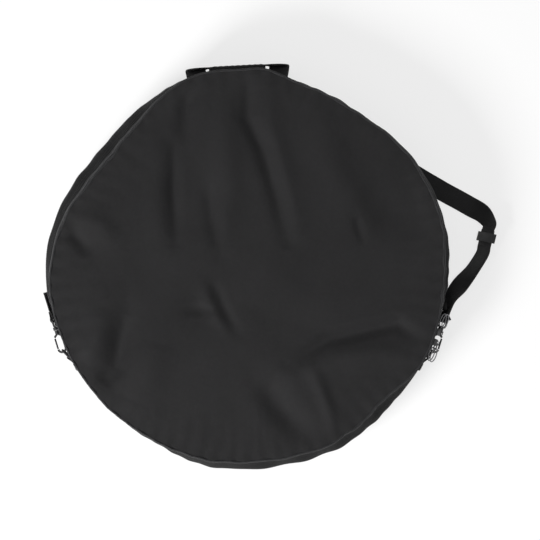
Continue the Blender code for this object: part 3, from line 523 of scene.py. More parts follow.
def cut_at_fold(item, side):
    """Keep the part of a mesh at one side of the fold line: -1 below it, 1 above it."""
    bm = bmesh.new()
    bm.from_mesh(item.data)
    bmesh.ops.bisect_plane(
        bm,
        geom=[*bm.verts, *bm.edges, *bm.faces],
        plane_co=(0, FOLD_Y, 0),
        plane_no=(0, side, 0),
        clear_inner=True,
    )
    bm.to_mesh(item.data)
    bm.free()


# Lengths of the bends before and after the fold line, and the gap at a cut
PANEL_BEND = 0.03
DIVIDER_BEND = 0.065
WALL_BEND = (0.06, 0.03)
SEAM_BEND = (0.004, 0.03)
CUT_GAP = 0.001


def over_fold(item, body, height, before, after):
    """Bake a piece's placement into its mesh."""
    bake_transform(item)


def follow(item, body, height):
    """Let a part of a zip or seam ride on the bag, or else bake its placement into its mesh."""
    if body == "bag":
        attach(item, "bag")
    else:
        over_fold(item, body, height, *SEAM_BEND)


# Sewn panels

PANEL_COUNT = 131
PANEL_DROP = 0.0012
PANEL_SAG = 0.004
GATHER_HEIGHT = 0.0009
SAG_FRAMES = 18
SAG_GRAVITY = 0.03
SAG_CLOTH = {
    "quality": 6, "mass": 0.25, "tension_stiffness": 60, "compression_stiffness": 40,
    "shear_stiffness": 20, "bending_stiffness": 1.5, "shrink_min": -0.0012, "air_damping": 3,
}

PAD_COUNT = 101
REAR_PANEL_INSET = 0.004
GROOVE_SLACK, GROOVE_SLOPE = 0.0008, 0.006
GROOVE_DEPTH = 0.0031
GROOVE_SWELL = 0.0011
PAD_SKIN = 0.0004
REAR_PANEL_LEVEL = 0.0002
RIM_LIFT = 0.0014
REAR_WAVE, DIVIDER_WAVE = 0.0008, 0.0016
DIVIDER_INSET = CLOTH + 0.0006
DIVIDER_FOLD_SHARE = 0.42


def disc_grid(count):
    """Square grid pressed into a unit disc, with even cells and no pole."""
    side = np.linspace(-1, 1, count)
    a, b = np.meshgrid(side, side, indexing="ij")
    x = a * np.sqrt(1 - b * b / 2)
    y = b * np.sqrt(1 - a * a / 2)
    return x, y, np.hypot(x, y), np.degrees(np.arctan2(y, x))


def distance_to_route(x, y, route):
    """Least distance from points to a line through a few places, and how far along it is, 0 to 1."""
    best = np.full(x.shape, np.inf)
    along = np.zeros(x.shape)
    count = len(route) - 1
    for index in range(count):
        ax, ay = route[index]
        bx, by = route[index + 1]
        dx, dy = bx - ax, by - ay
        t = np.clip(((x - ax) * dx + (y - ay) * dy) / (dx * dx + dy * dy), 0, 1)
        far = np.hypot(x - ax - t * dx, y - ay - t * dy)
        nearer = far < best
        best = np.where(nearer, far, best)
        along = np.where(nearer, (index + t) / count, along)
    return best, along


def panel_relief(x, y):
    """Height of the front panel's folds over a point, as the photograph shows them."""
    sx, sy = x / BAG_RADIUS, y / BAG_RADIUS
    height = np.zeros(x.shape)
    for route, width, depth in FOLDS:
        far, along = distance_to_route(sx, sy, route)
        fade = np.sin(np.pi * np.clip(along, *FOLD_TIPS)) ** FOLD_FADE
        height += depth * fade * np.exp(-((far / width) ** 2))
    waves = np.sin(9 * sx + 5 * sy + 1) * np.sin(7 * sy - 4 * sx + 2) + 0.5 * np.sin(17 * sx - 8 * sy)
    return height + RIPPLE_HEIGHT * waves


def simulate_sag(item, pinned):
    """Let the cloth of the front panel settle inside its seam, a little larger than its frame."""
    group = item.vertex_groups.new(name="seam")
    group.add([int(index) for index in pinned], 1.0, "REPLACE")
    cloth = item.modifiers.new("cloth", "CLOTH")
    cloth.settings.vertex_group_mass = "seam"
    cloth.settings.effector_weights.gravity = SAG_GRAVITY
    for key, value in SAG_CLOTH.items():
        setattr(cloth.settings, key, value)
    cloth.point_cache.frame_start = 1
    cloth.point_cache.frame_end = SAG_FRAMES
    for number in range(1, SAG_FRAMES + 1):
        bpy.context.scene.frame_set(number)
    apply_modifiers(item)
    bpy.context.scene.frame_set(1)


def make_front_panel():
    """The front panel: one simulated sheet, cut at the fold into a lower and an upper part."""
    x, y, reach, degrees = disc_grid(PANEL_COUNT)
    edge = wall_radius_at(degrees, FRONT_PIPING_Z) - PIPING_RADIUS
    scale = BAG_RADIUS + (edge - BAG_RADIUS) * reach ** 2
    flat = np.full(x.shape, PANEL_TOP_Z - PANEL_DROP)
    points = np.stack([x * scale, y * scale, flat], axis=-1)
    sheet = grid_object("front_panel_sheet", points, points[:, :, :2], (SHELL, LINING))
    reach, degrees, flat = reach.ravel(), degrees.ravel(), flat.ravel()
    simulate_sag(sheet, np.where(reach > 1 - 1e-6)[0])

    # The simulated sag is levelled to a shallow dish, and the folds are laid on it
    places = np.empty(len(sheet.data.vertices) * 3)
    sheet.data.vertices.foreach_get("co", places)
    places = places.reshape(-1, 3)
    inner = 1 - smoothstep(0.90, 1.0, reach)
    sag = places[:, 2] - flat
    dish = 1 - reach ** 2
    slack = sag - dish * float((sag * dish).sum() / (dish * dish).sum())
    relief = panel_relief(places[:, 0], places[:, 1])
    gather = GATHER_HEIGHT * np.sin(np.radians(degrees) * 74) * reach ** 18
    places[:, 2] = flat + slack * inner - PANEL_SAG * dish + relief * inner + gather
    sheet.data.vertices.foreach_set("co", places.ravel())
    sheet.data.update()

    base = copy_of(sheet, "front_panel_lower")
    cut_at_fold(base, -1)
    cut_at_fold(sheet, 1)
    sheet.name = "front_panel_upper"
    for piece in (base, sheet):
        thicken(piece, CLOTH)
    over_fold(base, "middle_flap", PANEL_TOP_Z, PANEL_BEND, 0)
    over_fold(sheet, "front_flap", PANEL_TOP_Z, 0, PANEL_BEND)
    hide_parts("front_panel_base")
    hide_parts("front_panel_flap")


def pad_between(name, radius_of, lower_z, upper_z, materials):
    """Closed padded disc: two faces drawn together at the rim."""
    x, y, reach, degrees = disc_grid(PAD_COUNT)
    scale = radius_of(degrees)
    px, py = x * scale, y * scale
    rim = np.sqrt(np.clip(1 - reach ** 12, 0, 1))
    lower, upper = lower_z(px, py, reach), upper_z(px, py, reach)
    middle = (lower + upper) / 2
    levels = (middle + (upper - middle) * rim, middle + (lower - middle) * rim)
    points = np.concatenate([np.stack([px, py, level], axis=-1).reshape(-1, 3) for level in levels])
    faces = grid_faces(PAD_COUNT, PAD_COUNT)
    under = [tuple(index + PAD_COUNT ** 2 for index in reversed(face)) for face in faces]
    mesh = cloth_mesh(name, points.tolist(), faces + under, points[:, :2])
    for number, polygon in enumerate(mesh.polygons):
        polygon.material_index = int(number >= len(faces))
    item = link_object(name, mesh, *materials)
    mend(mesh, merge=1e-6)
    shade(mesh, 60)
    return item


def make_rear_panel():
    """Padded rear panel, pressed up over the strap that passes under it."""
    rows = UNDER_ROUTE + OUTER_ROUTE[:2]
    route = [(row[0] * BAG_RADIUS, row[1] * BAG_RADIUS) for row in rows]
    top = high("rear_panel").z - PAD_SKIN

    def pressed(x, y):
        far, _ = distance_to_route(x, y, route)
        return 1 - smoothstep(WEBBING_WIDTH / 2 + GROOVE_SLACK, WEBBING_WIDTH / 2 + GROOVE_SLOPE, far)

    def lower(x, y, reach):
        return REAR_PANEL_LEVEL + GROOVE_DEPTH * pressed(x, y) + RIM_LIFT * smoothstep(0.93, 1.0, reach)

    def upper(x, y, reach):
        swell = REAR_WAVE * np.sin(21 * x + 6 * np.sin(9 * y)) * np.sin(17 * y + 1)
        return top + GROOVE_SWELL * pressed(x, y) + swell * (1 - reach ** 4)

    panel = pad_between("rear_panel_pad", lambda degrees: wall_radius_at(degrees, 0.0) - REAR_PANEL_INSET,
                        lower, upper, (LINING, SHELL))
    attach(panel, "bag")
    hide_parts("rear_panel")


def make_divider():
    """Padded divider between the compartments, in one piece."""
    half = (high("divider_flap").z - low("divider_flap").z) / 2 - PAD_SKIN

    def level(x, y, reach):
        waves = DIVIDER_WAVE * np.sin(13 * x + 2) * np.sin(11 * y)
        return DIVIDER_Z + (waves + DIVIDER_FOLD_SHARE * panel_relief(-y, x)) * (1 - reach ** 4)

    divider = pad_between(
        "divider_pad",
        lambda degrees: wall_radius_at(degrees, DIVIDER_Z) - DIVIDER_INSET,
        lambda x, y, reach: level(x, y, reach) - half,
        lambda x, y, reach: level(x, y, reach) + half,
        (LINING, LINING),
    )
    over_fold(divider, "middle_flap", DIVIDER_Z, DIVIDER_BEND, DIVIDER_BEND)
    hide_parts("divider_base", "divider_flap")


# Walls, zips and piping

TAPE_INSET = 0.0006
WALL_STEPS = 520
BAND_STEPS_PER_DEGREE, PIPING_STEPS_PER_DEGREE = 1.4, 2.2
BAND_ROW = 0.004
FOOT = 0.002
HEM = 0.0016
LAP = 0.001
SEAMS = (0.0018, 0.0078)
COIL_PITCH = 0.0024
COIL_ROOT = 0.62
COIL_WIRE = (0.0010, 0.0013)
COIL_OFFSET = 0.0014
COIL_STAND = 0.0005
PIPING_SEAT = PIPING_RADIUS * 0.4
PIPING_WAVE = 0.0004
PIPING_BULGE = 0.0032
STRAP_CROSSINGS = (24.5, 188.0)
CROSSING_WIDTH = 4.2

# Threads: radius, ridge, depth in the cloth and half length, and the faces and points of one thread
THREAD_RADIUS = 0.00032
THREAD_RIDGE = 0.00045
THREAD_DEPTH = 0.0001
THREAD_HALF = STITCH * 0.32
THREAD_FACES = ((0, 1, 2, 3), (0, 3, 5, 4), (3, 2, 5), (2, 1, 4, 5), (1, 0, 4))
THREAD_CORNERS = np.array(((-1, -1, 0), (-1, 1, 0), (1, 1, 0), (1, -1, 0), (-0.7, 0, 1), (0.7, 0, 1)))


# By default the outer side takes the darkened wall cloth, which paints the shade on the wall
def wall_band(name, start, end, bottom, top, materials=(WALL_SHADE_CLOTH, LINING), thickness=CLOTH, offset=0.0,
              steps=None):
    """Sheet of wall between two angles and two heights, with its cloth thickness."""
    degrees = np.linspace(start, end, steps or max(8, round((end - start) * BAND_STEPS_PER_DEGREE)))
    heights = np.linspace(bottom, top, max(3, round((top - bottom) / BAND_ROW)))
    along, z = np.meshgrid(np.radians(degrees) * BAG_RADIUS, heights, indexing="ij")
    band = grid_object(name, wall_points(degrees, heights, offset), np.stack([along, z], axis=-1), materials)
    thicken(band, thickness)
    return band


def tape_band(name, start, end, bottom, top):
    return wall_band(name, start, end, bottom, top, (TAPE, TAPE), TAPE_CLOTH, -TAPE_INSET)


def thread_object(name, points, pairs):
    """Short raised threads, each of six points: its four corners and the two ends of its ridge."""
    firsts = range(0, len(points), len(THREAD_CORNERS))
    faces = [tuple(first + index for index in face) for first in firsts for face in THREAD_FACES]
    mesh = cloth_mesh(name, points, faces, pairs)
    mend(mesh)
    mesh.shade_smooth()
    item = link_object(name, mesh, THREAD)
    return item


def stitch_row(name, height):
    """Row of short threads along the wall, from one end of the fold line to the other."""
    count = int(BAG_RADIUS * math.radians(FLAP_END - FLAP_START) / STITCH)
    degrees = np.linspace(FLAP_START, FLAP_END, count + 1)
    half = math.degrees(THREAD_HALF / BAG_RADIUS)
    along, across, out = THREAD_CORNERS.T
    radius = wall_radius_at(degrees, height)[:, None] + out * THREAD_RIDGE - THREAD_DEPTH
    z = np.broadcast_to(height + across * THREAD_RADIUS, radius.shape)
    points = round_the_wall(degrees[:, None] + along * half, radius, z).reshape(-1, 3)
    return thread_object(name, points.tolist(), points[:, (0, 2)])


def wall_tube(name, degrees, middle, level, wire, swell, turns, material, closed=False):
    """Tube round the wall: middle radius, level and swell at each angle, and its half width and height."""
    radius = middle[:, None] + wire[0] * swell[:, None] * np.cos(turns)
    z = level[:, None] + wire[1] * swell[:, None] * np.sin(turns)
    points = round_the_wall(degrees[:, None], radius, z)
    along, girth = np.meshgrid(np.radians(degrees) * BAG_RADIUS, turns * wire[1], indexing="ij")
    tube = grid_object(name, points, np.stack([along, girth], axis=-1), (material,),
                       closed_rows=closed, closed_columns=True)
    mend(tube.data, fill=True)
    return tube


def zip_coil(name, start, end, height, side):
    """One half of the coil: a cord with a bead for each tooth."""
    count = int(BAG_RADIUS * math.radians(end - start) / COIL_PITCH) * 3 + 1
    degrees = np.linspace(start, end, count)
    level = np.full(count, height + side * COIL_OFFSET)
    swell = np.where(np.arange(count) % 3 == 0, COIL_ROOT, 1.0)
    turns = np.arange(6) * math.pi / 3 + math.pi / 6
    coil = wall_tube(name, degrees, wall_radius(degrees, level) + COIL_STAND, level, COIL_WIRE, swell, turns,
                     COIL)
    shade(coil.data, 70)
    return coil


def make_zip(label, height, lower_body, upper_body):
    """Tapes and coils of one zip, from one closed end to the other."""
    for half, side, body in (("lower", -1, lower_body), ("upper", 1, upper_body)):
        bottom, top = sorted((height, height + side * TAPE_HEIGHT))
        tape = tape_band(f"{label}_tape_{half}", FLAP_START, FLAP_END, bottom, top)
        coil = zip_coil(f"{label}_coil_{half}", FLAP_START, FLAP_END, height, side)
        for piece in (tape, coil):
            follow(piece, body, height)
        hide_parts(f"{label}_zip_tape_{half}")
    for side_name, start, end in (("left", BASE_START, END_START), ("right", END_END, BASE_END)):
        ends = tape_band(f"{label}_end_{side_name}", start, end, height - TAPE_HEIGHT, height + TAPE_HEIGHT)
        halves = [zip_coil("part", start, end, height, side) for side in (-1, 1)]
        for piece in (ends, join(f"{label}_end_coil_{side_name}", halves)):
            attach(piece, "bag")
        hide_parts(f"{label}_zip_end_{side_name}")


def make_walls():
    """Cloth walls between the zips, hemmed along their edges."""
    rear = wall_band("rear_wall", 0, 360, REAR_WALL[0] - FOOT, REAR_WALL[1] + HEM, steps=WALL_STEPS)
    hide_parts("rear_gusset")
    front = wall_band("front_wall", FLAP_START - 360, FLAP_START, FRONT_WALL[0] - HEM, FRONT_WALL[1] + HEM,
                      steps=WALL_STEPS)
    over_fold(front, "middle_flap", sum(FRONT_WALL) / 2, *WALL_BEND)
    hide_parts("front_gusset_flap", "front_gusset_base")
    lower = wall_band("front_wall_foot", END_START, END_END, REAR_WALL[1] + LAP, FRONT_WALL[0])
    upper = wall_band("front_wall_head", END_START, END_END, FRONT_WALL[1] - LAP, FRONT_PIPING_Z)
    for piece in (rear, lower, upper):
        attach(piece, "bag")

    # Two rows of stitches beside each zip
    edges = ((REAR_WALL[1], -1, "bag"), (FRONT_WALL[0], 1, "middle_flap"), (FRONT_WALL[1], -1, "middle_flap"))
    rows = [(edge + side * seam, body) for edge, side, body in edges for seam in SEAMS]
    for number, (height, body) in enumerate(rows):
        follow(stitch_row(f"wall_stitches_{number}", height), body, height)


def piping_tube(name, start, end, height, seam_height, wire, crossings=(), closed=False):
    """Cord in bias tape, with small pinches, along the wall's seam, raised where the strap crosses it."""
    count = round((end - start) * PIPING_STEPS_PER_DEGREE)
    degrees = np.linspace(start, end, count + 1)[: count if closed else count + 1]
    t = np.radians(degrees)
    level = height + PIPING_WAVE * np.sin(37 * t) * calm(degrees)
    for crossing in crossings:
        level += PIPING_BULGE * np.exp(-(((np.mod(degrees, 360) - crossing) / CROSSING_WIDTH) ** 4))
    tube = wall_tube(name, degrees, wall_radius_at(degrees, seam_height) - PIPING_SEAT, level, (wire, wire),
                     1 + 0.05 * np.sin(190 * t), np.arange(10) * math.pi / 5, PIPING, closed)
    shade(tube.data, 60)
    return tube


def make_piping():
    """Piping round both panels; the front one is made in two parts, a lower and an upper one."""
    height = FRONT_PIPING_Z
    base = piping_tube("front_piping_lower", BASE_START, BASE_END, height, height, PIPING_RADIUS)
    over_fold(base, "middle_flap", height, PANEL_BEND, CUT_GAP)
    flap = piping_tube("front_piping_upper", FLAP_START, FLAP_END, height, height, PIPING_RADIUS)
    over_fold(flap, "front_flap", height, CUT_GAP, PANEL_BEND)
    rear = piping_tube("rear_piping_cord", 0, 360, REAR_PIPING_Z, 0.0, PIPING_RADIUS * 0.96, STRAP_CROSSINGS,
                       closed=True)
    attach(rear, "bag")
    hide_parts("front_piping_base")
    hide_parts("front_piping_flap")
    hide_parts("rear_piping")


# Webbing

# Upper side of the webbing's section: place across and height, as shares of the half width and half thickness
UPPER_SIDE = (
    (-1, 0.35), (-0.985, 0.85), (-0.93, 1), (-0.5, 0.94), (0, 0.94), (0.5, 0.94), (0.93, 1), (0.985, 0.85),
    (1, 0.35),
)
SECTION = (*UPPER_SIDE, *((share, -half) for share, half in reversed(UPPER_SIDE)))
SINGLE_LAYER = STRAP_THICKNESS * 0.92
DOUBLE_LAYER = LOWER_LAYERS * 0.44

# The strap's climb at the left: height, and how far it lies inside its place at the hook
RISER_SHAPE = ((0.0022, 0.012), (0.0030, 0.004), (0.010, 0.0), (0.030, -0.0006), (0.050, 0.0), (0.0548, 0.0))

# The handle's arm: place along the handle as a share of its half span, and height as a share of its rise
ARM_SHAPE = (
    (1.0, 0.0), (1.0, 0.25), (1.0, 0.5), (0.985, 0.66), (0.92, 0.79), (0.80, 0.875), (0.66, 0.9), (0.5, 0.9),
)
ARM_TOP = 0.9
HANDLE_THICKNESS = 0.0022
FOLDED_WIDTH = 0.0165
NARROWING = (0.62, 0.985)

# The handle's sewn end: height, and how far it has come to the wall, 0 to 1
SEWN_ROWS = (
    (0.0835, 0.06), (0.0860, 0.22), (0.0890, 0.48), (0.0930, 0.84), (0.0960, 1.0), (0.1020, 1.0),
    (0.1076, 1.0),
)
SEWN_LEVEL = 0.100
TURNING_LEVELS = (0.083, 0.093)
SEWN_STAND = 0.0017
SEWN_THICKNESS = 0.0023

GRIP_ROWS, GRIP_COLUMNS = 41, 20
GRIP_HALF_LENGTH = 0.0535
GRIP_HALF_DEPTH = 0.0053

STITCH_STEP = 0.0030
STITCH_SPAN = (0.16, 0.84)
STITCH_MARGIN = 0.0025

# Side tab and strap end, with their layers: the tab's by how far each stands off the wall and shares of the
# patch, the strap end's by share of its length and depth
TAB_PATCH = 0.030 / BAG_RADIUS
TAB_THICKNESS = 0.0020
TAB_UNDER = (0.0012, (1, 0.75, 0.5, 0.3))
TAB_OVER = (0.0034, (0.35, 0.55, 0.8, 0.97))
TAB_SEAM = (0.0046, 0.42)
TAB_LOOP = 0.0037
END_LOOP = 0.0031
END_BAR = 0.0046
END_EXTRA = 0.0009
END_EDGE = 0.0013
END_LAYERS = ((0.25, 0.0014), (0.5, 0.0020), (0.68, 0.0030))


def smooth_route(points, steps):
    """Smooth curve through the points, each with as many values as the first."""
    padded = [points[0], *points, points[-1]]
    route = []
    for index in range(1, len(padded) - 2):
        before, start, end, after = (Vector(padded[index + shift]) for shift in (-1, 0, 1, 2))
        for step in range(steps):
            t = step / steps
            square = (2 * before - 5 * start + 4 * end - after) * t**2
            cube = (3 * start - before - 3 * end + after) * t**3
            route.append(0.5 * (2 * start + (end - before) * t + square + cube))
    route.append(Vector(points[-1]))
    return route


def half_turn(middle, first, second, radius, start):
    """Nine places of a half circle between two directions, from a starting angle."""
    turns = [start + math.pi * step / 8 for step in range(9)]
    return [middle + first * (radius * math.cos(turn)) + second * (radius * math.sin(turn)) for turn in turns]


def direction_at(places, index):
    """Direction of a line of places at one of them."""
    return (places[min(index + 1, len(places) - 1)] - places[max(index - 1, 0)]).normalized()


def webbing(name, centres, across, thickness, widths=WEBBING_WIDTH, offset=0.0):
    """Flat webbing with rounded, slightly thicker edges, along centres with a direction across it."""
    count, columns = len(centres), len(SECTION)
    if isinstance(across, Vector):
        across = [across] * count
    if not isinstance(widths, list):
        widths = [widths] * count
    vertices, pairs, length = [], [], 0.0
    for index, centre in enumerate(centres):
        along = direction_at(centres, index)
        side = (across[index] - along * across[index].dot(along)).normalized()
        normal = along.cross(side)
        if index:
            length += (centre - centres[index - 1]).length
        for share, half in SECTION:
            aside = share * widths[index] / 2
            vertices.append(centre + side * aside + normal * (half * thickness / 2 + offset))
            pairs.append((aside, length))
    faces = grid_faces(count, columns, closed_columns=True)
    faces.append(tuple(range(columns)))
    faces.append(tuple(reversed(range((count - 1) * columns, count * columns))))
    mesh = cloth_mesh(name, vertices, faces, pairs)
    mend(mesh)
    shade(mesh, 50)
    item = link_object(name, mesh, WEB)
    return item


def strap_route(shares, thickness=STRAP_THICKNESS):
    """Centres and directions across for the strap; a lean of 0 lies flat."""
    centres, leans, across = [], [], []
    for x, y, rise, lean_share in smooth_route(shares, ROUTE_STEPS):
        lean = lean_share * math.pi / 2
        rest = STRAP_LIFT + WEBBING_WIDTH / 2 * math.sin(lean) + thickness / 2 * math.cos(lean)
        centres.append(Vector((x * BAG_RADIUS, y * BAG_RADIUS, rest + rise * BAG_RADIUS)))
        leans.append(lean)
    for index, lean in enumerate(leans):
        along = direction_at(centres, index)
        level = UP.cross(along).normalized()
        across.append(level * math.cos(lean) + along.cross(level) * math.sin(lean))
    return centres, across


def make_strap():
    """The shoulder strap: single webbing under the bag and out to the adjuster, doubled after it."""
    centres, across = strap_route(UNDER_ROUTE + OUTER_ROUTE)
    long_run = webbing("shoulder_strap", centres, across, SINGLE_LAYER)
    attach(long_run, "bag")
    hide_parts("strap_under", "strap_outer", "strap_turn")
    centres, across = strap_route(LOWER_ROUTE, LOWER_LAYERS)
    layers = [webbing("layer", centres, across, DOUBLE_LAYER, offset=sign * LOWER_LAYERS / 4)
              for sign in (-1, 1)]
    lower = join("shoulder_strap_end_run", layers)
    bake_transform(lower)
    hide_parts("strap_lower")
    make_riser()


def make_riser():
    """The strap's left end climbs from the floor and is folded toward the hook."""
    box_low, box_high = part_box("strap_riser")
    centre = (box_low + box_high) / 2
    hook_axis = joint_axis("hook_left_swivel")
    out = Vector((hook_axis.y, -hook_axis.x, 0))
    if out.dot(centre) < 0:
        out = -out
    foot = Vector((centre.x, centre.y, 0))
    centres = smooth_route([foot - out * inward + UP * z for z, inward in RISER_SHAPE], 6)
    riser = webbing("strap_riser_webbing", centres, hook_axis, SINGLE_LAYER)
    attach(riser, "bag")
    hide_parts("strap_riser")


def handle_axes():
    """Directions away from the bag's middle and along the handle."""
    along = Vector((-HANDLE_AXIS.x, -HANDLE_AXIS.y, 0)).normalized()
    return Vector((along.y, -along.x, 0)), along


def handle_place(t, reach, z):
    """Point beside the handle: t along its axis, its reach from the bag's middle and its height."""
    out, along = handle_axes()
    place = along * t + out * reach
    return Vector((place.x, place.y, z))


def make_handle():
    """Carry handle: sewn ends that hang down the wall, the folded-up bow and its grip."""
    out, _ = handle_axes()
    pivot, fold = joint_place("handle_swing"), joint_place("handle_unfold")
    plane = pivot.dot(out)
    outer_plane = 2 * fold.dot(out) - plane
    box_low, box_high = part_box("handle_webbing")
    half_span = (box_high.x - box_low.x) / HANDLE_AXIS.x / 2 - WEBBING_WIDTH / 2
    middle_z = (pivot.z + fold.z) / 2
    for name, sign in (("right", -1), ("left", 1)):
        make_sewn_end(name, sign * half_span, plane, pivot.z, middle_z)

    # Each leg turns at its foot into the bow's arm; the arms run in one piece through the grip
    bend = (outer_plane - plane) / 2
    rise = box_high.z - fold.z
    leg = [(half_span, plane, z) for z in np.linspace(middle_z - 0.001, fold.z, 8)]
    turns = [step * math.pi / 8 for step in range(1, 8)]
    turn = [(half_span, plane + bend - bend * math.cos(t), fold.z - bend * math.sin(t)) for t in turns]
    arm = smooth_route([(half_span * t, outer_plane, fold.z + share * rise) for t, share in ARM_SHAPE], 6)
    half_path = leg + turn + [tuple(place) for place in arm]
    mirrored = [(-t, reach, z) for t, reach, z in reversed(half_path)]
    path = half_path + [(0, outer_plane, fold.z + ARM_TOP * rise)] + mirrored
    centres = [handle_place(*place) for place in path]
    level = UP.cross(out)
    across, widths = [], []
    for index, (t, reach, z) in enumerate(path):
        on_arm = reach > outer_plane - 1e-6 and z > fold.z + 1e-6
        sideways = level if t > 0 else -level
        across.append(direction_at(centres, index).cross(out) if on_arm else sideways)
        share = float(smoothstep(*NARROWING, abs(t) / half_span))
        widths.append(FOLDED_WIDTH + (WEBBING_WIDTH - FOLDED_WIDTH) * share)
    bow = webbing("handle_bow_webbing", centres, across, HANDLE_THICKNESS, widths)
    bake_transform(bow)
    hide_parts("handle_webbing")
    make_grip()


def make_sewn_end(name, t, plane, pivot_z, middle_z):
    """One end of the handle's webbing: sewn flat on the wall, then hanging from its bend to mid leg."""
    _, along = handle_axes()
    spot = handle_place(t, plane, 0)
    azimuth = math.degrees(math.atan2(spot.y, spot.x))
    half = math.degrees(WEBBING_WIDTH / 2 / BAG_RADIUS)
    edges = wall_points([azimuth - half, azimuth + half], [SEWN_LEVEL])[:, 0]
    tangent = Vector(edges[1] - edges[0]).normalized()
    hanging = [handle_place(t, plane, z) for z in np.linspace(middle_z, pivot_z + 0.0004, 9)]
    rows = [hanging[-1]]
    for z, on_wall in SEWN_ROWS:
        wall_place = Vector(wall_points([azimuth], [z], SEWN_STAND)[0, 0])
        rows.append(handle_place(t, plane, z).lerp(wall_place, on_wall))
    centres = hanging + smooth_route(rows, 3)[1:]
    turned = [float(smoothstep(*TURNING_LEVELS, place.z)) for place in centres]
    across = [along.lerp(tangent, share).normalized() for share in turned]
    item = webbing(f"handle_end_webbing_{name}", centres, across, SEWN_THICKNESS)
    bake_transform(item)
    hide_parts(f"handle_anchor_{name}", f"handle_leg_{name}")
    box_stitches(f"handle_seam_{name}", centres[-1], tangent, UP, 0.030, 0.0110, HANDLE_THICKNESS * 0.62,
                 "middle_flap")


def make_grip():
    """The grip: a rounded tube of webbing, full as if wrapped round padding, closed at its ends."""
    out, along = handle_axes()
    box_low, box_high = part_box("handle_grip")
    centre = (box_low + box_high) / 2
    half_width = (box_high.z - box_low.z) / 2
    points = np.zeros((GRIP_ROWS, GRIP_COLUMNS, 3))
    pairs = np.zeros((GRIP_ROWS, GRIP_COLUMNS, 2))
    for row, s in enumerate(np.linspace(-1, 1, GRIP_ROWS)):
        full = math.sqrt(max(0.0, 1 - abs(s) ** 14))
        for column in range(GRIP_COLUMNS):
            turn = 2 * math.pi * column / GRIP_COLUMNS
            c, q = math.cos(turn), math.sin(turn)
            wide = math.copysign(abs(c) ** 0.55, c) * half_width * (0.82 + 0.18 * full)
            deep = math.copysign(abs(q) ** 0.7, q) * GRIP_HALF_DEPTH * (0.55 + 0.45 * full)
            deep += 0.0003 * math.sin(31 * s + 2 * turn)
            points[row, column] = centre + along * (s * GRIP_HALF_LENGTH) + out * deep + UP * wide
            pairs[row, column] = (s * GRIP_HALF_LENGTH, turn * half_width / 1.6)
    grip = grid_object("handle_grip_wrap", points, pairs, (WEB,), closed_columns=True)
    mend(grip.data, fill=True)
    shade(grip.data, 60)
    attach(grip, "handle_bow")
    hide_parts("handle_grip")


def box_stitches(name, top_centre, wide, tall, width, height, lift, body):
    """A sewn box with a cross in it, on webbing whose upper edge is centred at a point."""
    normal = wide.cross(tall).normalized()
    if normal.dot(Vector((top_centre.x, top_centre.y, 0))) < 0:
        normal = -normal
    centre = top_centre - tall * (height / 2 + STITCH_MARGIN) + normal * lift
    corners = [centre + wide * (sx * width / 2) + tall * (sy * height / 2)
               for sx, sy in ((-1, -1), (1, -1), (1, 1), (-1, 1))]
    lines = [(corners[i], corners[(i + 1) % 4]) for i in range(4)]
    lines += [(corners[0], corners[2]), (corners[1], corners[3])]
    ridge = normal * THREAD_RADIUS * 1.3
    points = []
    for line_start, line_end in lines:
        count = max(2, round((line_end - line_start).length / STITCH_STEP))
        for step in range(count):
            start, end = (line_start.lerp(line_end, (step + share) / count) for share in STITCH_SPAN)
            inset = (end - start).normalized() * THREAD_RADIUS
            side = normal.cross(inset)
            points += [start - side, start + side, end + side, end - side,
                       start + inset + ridge, end - inset + ridge]
    threads = thread_object(name, points, [(point.x + point.y, point.z) for point in points])
    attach(threads, body)


# Side hardware


def make_side_tab(label, turning):
    """Tab sewn on the wall and folded round the ring's bar; turning is 1 or -1, its way round the wall."""
    bar = joint_place(f"ring_{label}_swing")
    azimuth = math.atan2(bar.y, bar.x)
    tab_low, tab_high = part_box(f"side_tab_{label}")
    height = tab_high.z - tab_low.z
    z = (tab_high.z + tab_low.z) / 2

    def on_wall(stand, share):
        angle = math.degrees(azimuth - turning * TAB_PATCH * share)
        return Vector(round_the_wall(angle, BAG_RADIUS + stand, z))

    out = Vector((math.cos(azimuth), math.sin(azimuth), 0))
    tangent = Vector((-math.sin(azimuth), math.cos(azimuth), 0)) * turning
    route = [on_wall(TAB_UNDER[0], share) for share in TAB_UNDER[1]]
    route += half_turn(Vector((bar.x, bar.y, z)), tangent, out, TAB_LOOP, -math.pi / 2)
    route += [on_wall(TAB_OVER[0], share) for share in TAB_OVER[1]]
    tab = webbing(f"side_tab_webbing_{label}", smooth_route(route, 3), UP, TAB_THICKNESS, height - 0.001)
    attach(tab, "bag")
    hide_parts(f"side_tab_{label}")
    box_stitches(f"side_tab_stitches_{label}", on_wall(*TAB_SEAM), UP, tangent, height - 0.007, 0.012, 0.0,
                 "bag")


def make_strap_end(label):
    """The strap's end, folded round the swivel eye's bar and sewn to itself."""
    node = f"strap_end_{label}"
    hook_axis = joint_axis(f"hook_{label}_swivel")
    places = [vertex.co for vertex in frame["nodes"][node].data.vertices]
    reach = [place.dot(hook_axis) for place in places]
    near, far = min(reach), max(reach) + END_EXTRA
    centre = sum(places, Vector()) / len(places)
    centre = centre - hook_axis * centre.dot(hook_axis)
    wide = wide_axis(places, hook_axis)
    thick = hook_axis.cross(wide).normalized()

    def layer_place(share, depth):
        return centre + hook_axis * (far - share * (far - near)) + thick * depth

    route = [layer_place(0, END_EDGE)] + [layer_place(*layer) for layer in END_LAYERS]
    route += half_turn(centre + hook_axis * (near + END_BAR), hook_axis, thick, END_LOOP, math.pi / 2)
    route += [layer_place(share, -depth) for share, depth in reversed(END_LAYERS)]
    route.append(layer_place(0.02, -END_EDGE))
    end = webbing(f"strap_end_webbing_{label}", smooth_route(route, 3), wide, TAB_THICKNESS)
    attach(end, f"ring_{label}")
    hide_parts(node)


